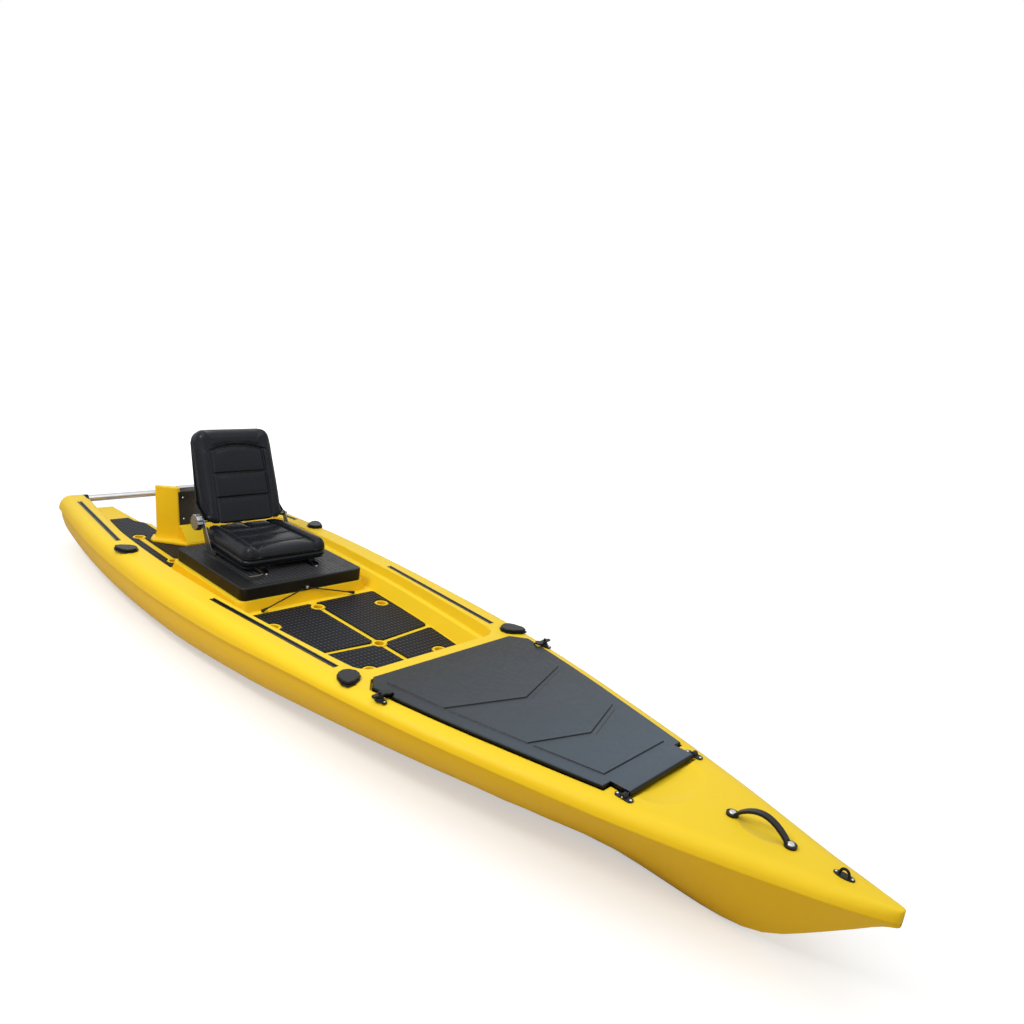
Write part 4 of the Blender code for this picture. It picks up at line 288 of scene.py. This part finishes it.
FINISH = {
    "hull_plastic": hull_plastic(), "lid_plastic": lid_plastic(), "black_plastic": black_plastic(),
    "box_plastic": box_plastic(), "rubber": rubber(), "foam": foam(), "vinyl": vinyl(),
    "steel": metal("steel", (0.60, 0.60, 0.61), 0.30, 0.08),
    "aluminium": metal("aluminium", (0.60, 0.61, 0.63), 0.34, 0.08, "Y"), "black_steel": black_steel(),
}
KNOB = metal("knob_metal", (0.26, 0.26, 0.27), 0.26, 0.06, "Y")
PLATE = metal("plate_metal", (0.14, 0.125, 0.10), 0.34, 0.06, "Z")
DARK = metal("dark_metal", (0.055, 0.055, 0.06), 0.30, 0.06)
ARM = metal("arm_metal", (0.20, 0.20, 0.21), 0.28, 0.06, "Z")

# Carried-over nodes, by the start of their names: metals that differ from their slot's, and edge radii
OWN_METAL = {"recliner_knob": KNOB, "transom_plate": PLATE, "seat_slide_lever": PLATE, "seat_rail": DARK,
             "gear_track": DARK, "recliner_bracket": ARM, "recliner_shaft": ARM}
EDGE_RADIUS = {"hatch_lid": 0.0010, "seat_base_box": 0.007, "motor_mount_tower": 0.006,
               "bow_handle": 0.0015, "bow_handle_cap": 0.0, "backrest_shell": 0.003,
               "transom_cap": 0.0006, "transom_plate": 0.0006, "rod_holder_cap": 0.0012,
               "hatch_latch_lever": 0.0012}


def by_name(name, table, otherwise):
    """Value of the longest start of the name that the table has."""
    starts = [start for start in table if name.startswith(start)]
    return table[max(starts, key=len)] if starts else otherwise


def round_edges(obj, width):
    """Bevels the edges, after merging the flat faces that a CAD solid is cut into."""
    flat = obj.modifiers.new("flat", "DECIMATE")
    flat.decimate_type = "DISSOLVE"
    flat.angle_limit = math.radians(0.6)
    rounded = obj.modifiers.new("rounded", "BEVEL")
    rounded.width = width
    rounded.segments = 2
    rounded.limit_method = "ANGLE"
    rounded.angle_limit = math.radians(28)
    rounded.harden_normals = False


def smooth_faces(mesh):
    mesh.polygons.foreach_set("use_smooth", [True] * len(mesh.polygons))


def dress(obj, finish, width):
    """Gives a node its finish, smooth faces, sharp or rounded edges."""
    obj.data.materials.clear()
    obj.data.materials.append(finish)
    smooth_faces(obj.data)
    weld = obj.modifiers.new("weld", "WELD")
    weld.merge_threshold = 0.00002
    if width:
        round_edges(obj, width)
    edges = obj.modifiers.new("edges", "EDGE_SPLIT")
    edges.split_angle = math.radians(32)
    weigh = obj.modifiers.new("weigh", "WEIGHTED_NORMAL")
    weigh.weight = 60


for name, node in NODES.items():
    dress(node, by_name(name, OWN_METAL, FINISH[SLOTS[name]]), by_name(name, EDGE_RADIUS, 0.0))


def piece(name, bm, finish, body, stand_for=()):
    """Links a new piece made from a mesh builder, finished from a record slot, riding on a body."""
    mesh = bpy.data.meshes.new(name)
    bm.to_mesh(mesh)
    bm.free()
    made = bpy.data.objects.new(name, mesh)
    bpy.context.scene.collection.objects.link(made)
    mesh.materials.append(FINISH[finish])
    smooth_faces(mesh)
    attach(made, body)
    if stand_for:
        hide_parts(*stand_for)
    return made


# Cushions
GRID = 0.006  # spacing of a cushion's points
SIDE_ROLL = 0.42  # radius of a cushion's edges, as a share of its thickness
SKIRT_RAMP = 0.006  # length over which a skirt's underside rises to its height
SEAM_DEPTH, SEAM_WIDTH, WRINKLE = 0.007, 0.0035, 0.0012
PINNED_BELOW, PINNED_REAR, PINNED_SEAM = 0.012, 0.042, 0.004  # what the cloth pressure leaves in place


def edge_fall(rim, radius):
    """Quarter-round profile, 0 at the rim and 1 at radius inside it."""
    t = min(max(rim / radius, 0.0), 1.0)
    return math.sqrt(1 - (1 - t) ** 2)


def rounded_distance(x, y, half_x, half_y, corner):
    """Distance inside a rounded rectangle's edge, negative outside."""
    dx, dy = abs(x) - (half_x - corner), abs(y) - (half_y - corner)
    outside = math.hypot(max(dx, 0), max(dy, 0))
    return corner - outside - min(max(dx, dy), 0.0)


def padded_form(length, half_low, half_high, thick, border, bolster, crown, corner, low_roll, skirt=None):
    """Closed padded slab, length along X, its underside at z 0. It is half_low wide at the low end of X and
    half_high at the other, with a bolster along each border and a crown between them. The low end's edge is
    rounded by low_roll. The skirt is a low end with a cut-back underside, as its length and the height of its
    underside. Returns the mesh builder."""
    bm = bmesh.new()
    nx, ny = round(length / GRID), round(2 * max(half_low, half_high) / GRID)
    half_x = length / 2

    def squircle(u, v):
        """Square grid to a rounded outline."""
        wide = half_low + (half_high - half_low) * (u + 1) / 2
        x, y = u * half_x, v * wide
        over_x, over_y = abs(x) - (half_x - corner), abs(y) - (wide - corner)
        if over_x > 0 and over_y > 0:
            reach = math.hypot(over_x, over_y)
            longest = max(over_x, over_y)
            x = math.copysign(half_x - corner + over_x * longest / reach, x)
            y = math.copysign(wide - corner + over_y * longest / reach, y)
        return x, y, rounded_distance(x, y, half_x, wide, corner), wide

    def height(u, v, x, y, rim, wide):
        """Top surface: edge roll, bolsters that fade towards the low end, and the crown."""
        at_low_end = u < -0.7 and abs(y) < wide - corner
        fall = edge_fall(rim, thick * (low_roll if at_low_end else SIDE_ROLL))
        inward = wide - abs(y)
        rise = bolster * math.exp(-((inward - border * 0.5) / (border * 0.42)) ** 2)
        rise *= min((1 + u) / 0.5, 1.0) ** 0.7
        rise += crown * (1 - u * u) * (1 - v * v)
        edge = 0.88 if skirt and x < skirt[0] - length / 2 + SKIRT_RAMP else 0.45
        return thick * edge + (thick * (1 - edge) + rise) * fall

    def underside(x, rim):
        under = thick * 0.30 * (1 - edge_fall(rim, thick * 0.3))
        if skirt:
            cut = min(max((skirt[0] + SKIRT_RAMP - (x + length / 2)) / SKIRT_RAMP, 0.0), 1.0)
            under = under * (1 - cut) + skirt[1] * cut
        return under

    tops, unders = [], []
    for i in range(nx + 1):
        u = -1 + 2 * i / nx
        tops.append([])
        unders.append([])
        for j in range(ny + 1):
            v = -1 + 2 * j / ny
            x, y, rim, wide = squircle(u, v)
            tops[i].append(bm.verts.new((x, y, height(u, v, x, y, rim, wide))))
            unders[i].append(bm.verts.new((x, y, underside(x, rim))))
    for i in range(nx):
        for j in range(ny):
            for grid, order in ((tops, 1), (unders, -1)):
                ring = (grid[i][j], grid[i + 1][j], grid[i + 1][j + 1], grid[i][j + 1])
                bm.faces.new(ring[::order])
    rim_path = [(i, 0) for i in range(nx)] + [(nx, j) for j in range(ny)]
    rim_path += [(i, ny) for i in range(nx, 0, -1)] + [(0, j) for j in range(ny, 0, -1)]
    for (a, b), (c, d) in zip(rim_path, rim_path[1:] + rim_path[:1]):
        bm.faces.new((tops[a][b], unders[a][b], unders[c][d], tops[c][d]))
    bmesh.ops.recalc_face_normals(bm, faces=bm.faces[:])
    return bm


def evaluated_mesh(obj):
    depsgraph = bpy.context.evaluated_depsgraph_get()
    return bpy.data.meshes.new_from_object(obj.evaluated_get(depsgraph))


def puff(obj, pinned, cap):
    """Cloth pressure with pinned seams, its result kept in the mesh, each point moved by the cap at most."""
    frames = 20
    remesh = obj.modifiers.new("remesh", "REMESH")
    remesh.mode = "VOXEL"
    remesh.voxel_size = 0.005
    mesh = evaluated_mesh(obj)
    obj.modifiers.clear()
    obj.data = mesh
    before = [v.co.copy() for v in mesh.vertices]
    group = obj.vertex_groups.new(name="pinned")
    for v in mesh.vertices:
        if pinned(v.co):
            group.add([v.index], 1.0, "REPLACE")
    cloth = obj.modifiers.new("cloth", "CLOTH")
    settings = cloth.settings
    settings.use_pressure = True
    settings.uniform_pressure_force = 4.0
    settings.effector_weights.gravity = 0
    settings.vertex_group_mass = "pinned"
    settings.quality = 4
    settings.tension_stiffness = 12
    settings.compression_stiffness = 12
    cloth.collision_settings.use_collision = False
    cloth.point_cache.frame_end = frames
    for step in range(1, frames + 1):
        bpy.context.scene.frame_set(step)
    after = evaluated_mesh(obj)
    obj.modifiers.clear()
    bpy.context.scene.frame_set(1)
    for v, start in zip(after.vertices, before):
        move = v.co - start
        if move.length > cap:
            v.co = start + move * (cap / move.length)
    obj.data = after
    obj.vertex_groups.clear()


def bell(distance, width):
    return math.exp(-((distance / width) ** 2))


def sew(obj, seams):
    """Presses sewn channels into a subdivided padded mesh. seams gives the distance to the nearest seam."""
    bm = bmesh.new()
    bm.from_mesh(obj.data)
    bmesh.ops.subdivide_edges(bm, edges=bm.edges[:], cuts=1, use_grid_fill=True, smooth=0.0)
    bm.normal_update()
    for v in bm.verts:
        away = seams(v.co)
        if away is None:
            continue
        dip = SEAM_DEPTH * (0.7 * bell(away, SEAM_WIDTH) + 0.6 * bell(away, SEAM_WIDTH * 4.5))
        ridge = 0.25 * SEAM_DEPTH * bell(away - SEAM_WIDTH * 2.4, SEAM_WIDTH)
        crease = WRINKLE * math.exp(-away / (SEAM_WIDTH * 7)) * noise.noise(v.co * 42.0)
        v.co += v.normal * (ridge - dip + crease)
    bm.to_mesh(obj.data)
    bm.free()


def place_cushion(name, node, form, seams, cap, body, place):
    """Puffed and sewn cushion in place of its CAD node, its underside, low end and seams pinned."""
    obj = piece(name, form, "vinyl", body, (node,))
    rear = min(v.co.x for v in obj.data.vertices) + PINNED_REAR

    def pinned(co):
        return co.z < PINNED_BELOW or co.x < rear or (seams(co) or 1.0) < PINNED_SEAM

    puff(obj, pinned, cap)
    sew(obj, seams)
    obj.data.transform(place)
    obj.data.materials.clear()
    obj.data.materials.append(FINISH["vinyl"])
    smooth_faces(obj.data)
    relax = obj.modifiers.new("even", "SMOOTH")
    relax.factor = 0.5
    relax.iterations = 3


PANEL_LAP = 0.004  # how far the cross seams run past the seams along the borders


def welt_distance(z, start, middle):
    """Distance to the welt round a cushion's side, nothing below its start."""
    return abs(z - middle) if z > start else None


# Seat cushion, its seams measured from the front edge
SEAT_LOW, SEAT_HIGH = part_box("seat_cushion")
SEAT_LENGTH, SEAT_HALF = SEAT_HIGH.x - SEAT_LOW.x, SEAT_HIGH.y
SEAT_MIDDLE = Vector(((SEAT_LOW.x + SEAT_HIGH.x) / 2, 0, SEAT_LOW.z))
SEAT_HALF_REAR = SEAT_HALF * 0.400 / 0.452  # width at the rear against the front
SEAT_SHIFT = Vector((0.006, 0, 0))
SEAT_THICK = 0.074
SEAT_WELT_START, SEAT_WELT, SEAT_FACE = 0.015, 0.030, 0.045
SEAT_BORDER = 0.074
SEAT_SEAMS = (0.095, 0.207, 0.318)


def seat_seams(co):
    """Distance to the nearest seam on the top of the seat cushion, or to the welt round its side."""
    if co.z < SEAT_FACE:
        return welt_distance(co.z, SEAT_WELT_START, SEAT_WELT)
    wide = SEAT_HALF_REAR + (SEAT_HALF - SEAT_HALF_REAR) * (co.x / SEAT_LENGTH + 0.5)
    inner = wide - SEAT_BORDER
    front = SEAT_LENGTH / 2 - co.x
    best = abs(abs(co.y) - inner)
    if abs(co.y) < inner + PANEL_LAP:
        best = min([best] + [abs(front - at) for at in SEAT_SEAMS])
        if front > SEAT_SEAMS[-1]:
            best = min(best, abs(co.y))
    return best


SEAT_FORM = padded_form(
    SEAT_LENGTH + 0.004, SEAT_HALF_REAR, SEAT_HALF - 0.002, SEAT_THICK, SEAT_BORDER,
    bolster=0.017, crown=0.004, corner=0.050, low_roll=0.25)
SEAT_PLACE = Matrix.Translation(SEAT_MIDDLE - SEAT_SHIFT)
place_cushion("seat_pad", "seat_cushion", SEAT_FORM, seat_seams, 0.008, "seat", SEAT_PLACE)

# Back cushion, drawn along X from the pivot up and turned to the leaning shell
RECLINE = math.radians(23)
PIVOT = Vector((-0.97321, 0, 0.4372))
BACK_START = -0.023
BACK_LENGTH = 0.440 - BACK_START
BACK_HALF_LOW, BACK_HALF_TOP = 0.204, 0.196
BACK_THICK = 0.078
BACK_UNDERSIDE = -0.0577
BACK_WELT_START, BACK_WELT, BACK_FACE = 0.012, 0.026, 0.040
BACK_BORDER = 0.064
BACK_ARCH, BACK_ARCH_SAG = 0.088, 0.022
BACK_SEAMS = tuple(BACK_LENGTH / 2 - at for at in (0.222, 0.340))


def back_seams(co):
    """Distance to the nearest seam on the face of the back cushion, or to the welt round its side."""
    if co.z < BACK_FACE:
        return welt_distance(co.z, BACK_WELT_START, BACK_WELT)
    wide = BACK_HALF_LOW + (BACK_HALF_TOP - BACK_HALF_LOW) * (co.x / BACK_LENGTH + 0.5)
    inner = wide - BACK_BORDER
    arch = BACK_LENGTH / 2 - BACK_ARCH - BACK_ARCH_SAG * (co.y / inner) ** 2
    if co.x > arch + 0.03:
        return abs(co.x - arch)
    best = abs(abs(co.y) - inner) if co.x < arch + PANEL_LAP else 1.0
    if abs(co.y) < inner + PANEL_LAP:
        best = min(best, abs(co.x - arch), *(abs(co.x - at) for at in BACK_SEAMS))
    return best


BACK_FORM = padded_form(
    BACK_LENGTH, BACK_HALF_LOW, BACK_HALF_TOP, BACK_THICK, BACK_BORDER,
    bolster=0.012, crown=0.006, corner=0.056, low_roll=0.08, skirt=(0.010 - BACK_START, 0.066))
BACK_LEAN = Matrix.Rotation(-(math.pi / 2 + RECLINE), 4, "Y")
BACK_FLIP = Matrix.Rotation(math.pi, 4, "X")
BACK_SHIFT = Matrix.Translation((BACK_START + BACK_LENGTH / 2, 0, BACK_UNDERSIDE))
BACK_PLACE = Matrix.Translation(PIVOT) @ BACK_LEAN @ BACK_FLIP @ BACK_SHIFT
place_cushion("back_pad", "backrest_cushion", BACK_FORM, back_seams, 0.007, "backrest", BACK_PLACE)

# Fasteners
DECK_HEIGHT, SHEER = 0.3005, 0.0088  # height of the deck at x 0, and its rise per metre towards the bow
DECK_UP = (-SHEER, 0, 1)
PLATE_THICKNESS, PLATE_SCREW_HALF, PLATE_SCREW_MARGIN = 0.003, 0.098, 0.030
# A screw head's dome and recess against its radius, and its underside against the dome
HEAD_DOME, HEAD_UNDER = 0.55, 0.2
RECESS_RADIUS, RECESS_HEIGHT = 0.3, 0.34


def screws(name, spots):
    """Steel pan heads with a recess, as (place, direction, radius), fixed to the hull."""
    bm = bmesh.new()
    for place, direction, radius in spots:
        turn = Vector(direction).to_track_quat("Z", "Y").to_matrix().to_4x4()
        at = Matrix.Translation(place) @ turn
        head = bmesh.ops.create_uvsphere(bm, u_segments=14, v_segments=8, radius=radius,
                                         matrix=at @ Matrix.Diagonal((1, 1, HEAD_DOME, 1)))
        for v in head["verts"]:
            local = at.inverted() @ v.co
            if local.z < 0:
                v.co = at @ Vector((local.x, local.y, local.z * HEAD_UNDER))
            elif math.hypot(local.x, local.y) < radius * RECESS_RADIUS:
                v.co = at @ Vector((local.x, local.y, radius * RECESS_HEIGHT))
    piece(name, bm, "steel", "hull_assembly")


def deck_pair(node, half_spacing, lift, radius):
    """Two screws fore and aft of a fitting's middle, at a lift above the deck."""
    low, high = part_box(node)
    middle = (low + high) / 2
    places = [middle.x + end * half_spacing for end in (-1, 1)]
    return [((x, middle.y, DECK_HEIGHT + SHEER * x + lift), DECK_UP, radius) for x in places]


def deck_spots():
    spots = []
    for side in SIDES:
        spots += deck_pair(f"hatch_hinge_bracket_{side}", 0.023, 0.0042, 0.0046)
        spots += deck_pair(f"hatch_latch_base_{side}", 0.0265, 0.0052, 0.0042)
    spots += deck_pair("bow_padeye", 0.0215, 0.0042, 0.0038)
    for side in SIDES:
        low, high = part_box(f"seat_rail_lower_{side}")
        spots.append(((high.x + 0.007, (low.y + high.y) / 2, low.z + 0.0004), (0, 0, 1), 0.0055))
    low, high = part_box("bungee_hook")
    spots.append(((high.x, 0, (low.z + high.z) / 2), (1, 0, 0), 0.0050))
    return spots


def plate_spots():
    """One screw near each corner of the leaning motor plate."""
    low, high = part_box("transom_plate")
    lean = (high.x - PLATE_THICKNESS - low.x) / (high.z - low.z)
    normal = Vector((1, 0, lean)).normalized()
    spots = []
    for side in (-1, 1):
        for z in (low.z + PLATE_SCREW_MARGIN, high.z - PLATE_SCREW_MARGIN):
            x = high.x - lean * (z - low.z) + 0.0002
            spots.append(((x, side * PLATE_SCREW_HALF, z), normal, 0.0055))
    return spots


screws("deck_screws", deck_spots())
screws("plate_screws", plate_spots())


# Stage and light
def sheet_floor():
    """Pale floor that keeps the soft shadow near the boat and goes white away from it."""
    bm = bmesh.new()
    bmesh.ops.create_grid(bm, x_segments=1, y_segments=1, size=40)
    mesh = bpy.data.meshes.new("floor")
    bm.to_mesh(mesh)
    bm.free()
    made = bpy.data.objects.new("floor", mesh)
    made.location = (0, 0, -0.0005)
    bpy.context.scene.collection.objects.link(made)
    s = Shader("floor", (0.62, 0.62, 0.62), 0.9, Specular_IOR_Level=0.0)
    squeezed = s.stretched((0.42, 1.0, 1.0))
    away = s.node("ShaderNodeVectorMath", {0: squeezed}, operation="LENGTH").outputs["Value"]
    glow = s.remap(away, 0.46, 1.0, 0.6, 2.0, interpolation_type="SMOOTHSTEP")
    seen = s.node("ShaderNodeLightPath").outputs["Is Camera Ray"]
    s.feed("Emission Strength", s.product(glow, seen))
    s.out.inputs["Emission Color"].default_value = (1, 1, 1, 1)
    mesh.materials.append(s.made)


def area(name, place, target, size, power):
    light = bpy.data.lights.new(name, "AREA")
    light.shape = "RECTANGLE"
    light.size, light.size_y = size
    light.energy = power
    made = bpy.data.objects.new(name, light)
    made.location = place
    made.rotation_euler = (Vector(target) - Vector(place)).to_track_quat("-Z", "Y").to_euler()
    bpy.context.scene.collection.objects.link(made)


def sky():
    """Soft light from all round, seen as plain white by camera, glossy and transmission rays."""
    world = bpy.data.worlds.new("studio")
    bpy.context.scene.world = world
    world.use_nodes = True
    tree = world.node_tree
    plain = tree.nodes["Background"]
    plain.inputs["Color"].default_value = (1.0, 0.99, 0.98, 1)
    plain.inputs["Strength"].default_value = 0.40
    white = tree.nodes.new("ShaderNodeBackground")
    white.inputs["Color"].default_value = (1, 1, 1, 1)
    path = tree.nodes.new("ShaderNodeLightPath")
    seen = path.outputs["Is Camera Ray"]
    for ray in ("Is Glossy Ray", "Is Transmission Ray"):
        either = tree.nodes.new("ShaderNodeMath")
        either.operation = "MAXIMUM"
        tree.links.new(seen, either.inputs[0])
        tree.links.new(path.outputs[ray], either.inputs[1])
        seen = either.outputs[0]
    mix = tree.nodes.new("ShaderNodeMixShader")
    tree.links.new(seen, mix.inputs["Fac"])
    tree.links.new(plain.outputs[0], mix.inputs[1])
    tree.links.new(white.outputs[0], mix.inputs[2])
    tree.links.new(mix.outputs[0], tree.nodes["World Output"].inputs["Surface"])


sheet_floor()
area("overhead", (0.3, -0.6, 4.6), (0, 0, 0), (6.5, 4.5), 122)
area("key", (-0.4, -2.6, 3.4), (0, 0, 0.2), (1.4, 0.8), 58)
area("front_fill", (4.6, -4.2, 2.4), (0, 0, 0.3), (3.5, 2.5), 34)
sky()
bpy.context.scene.view_settings.view_transform = "Standard"
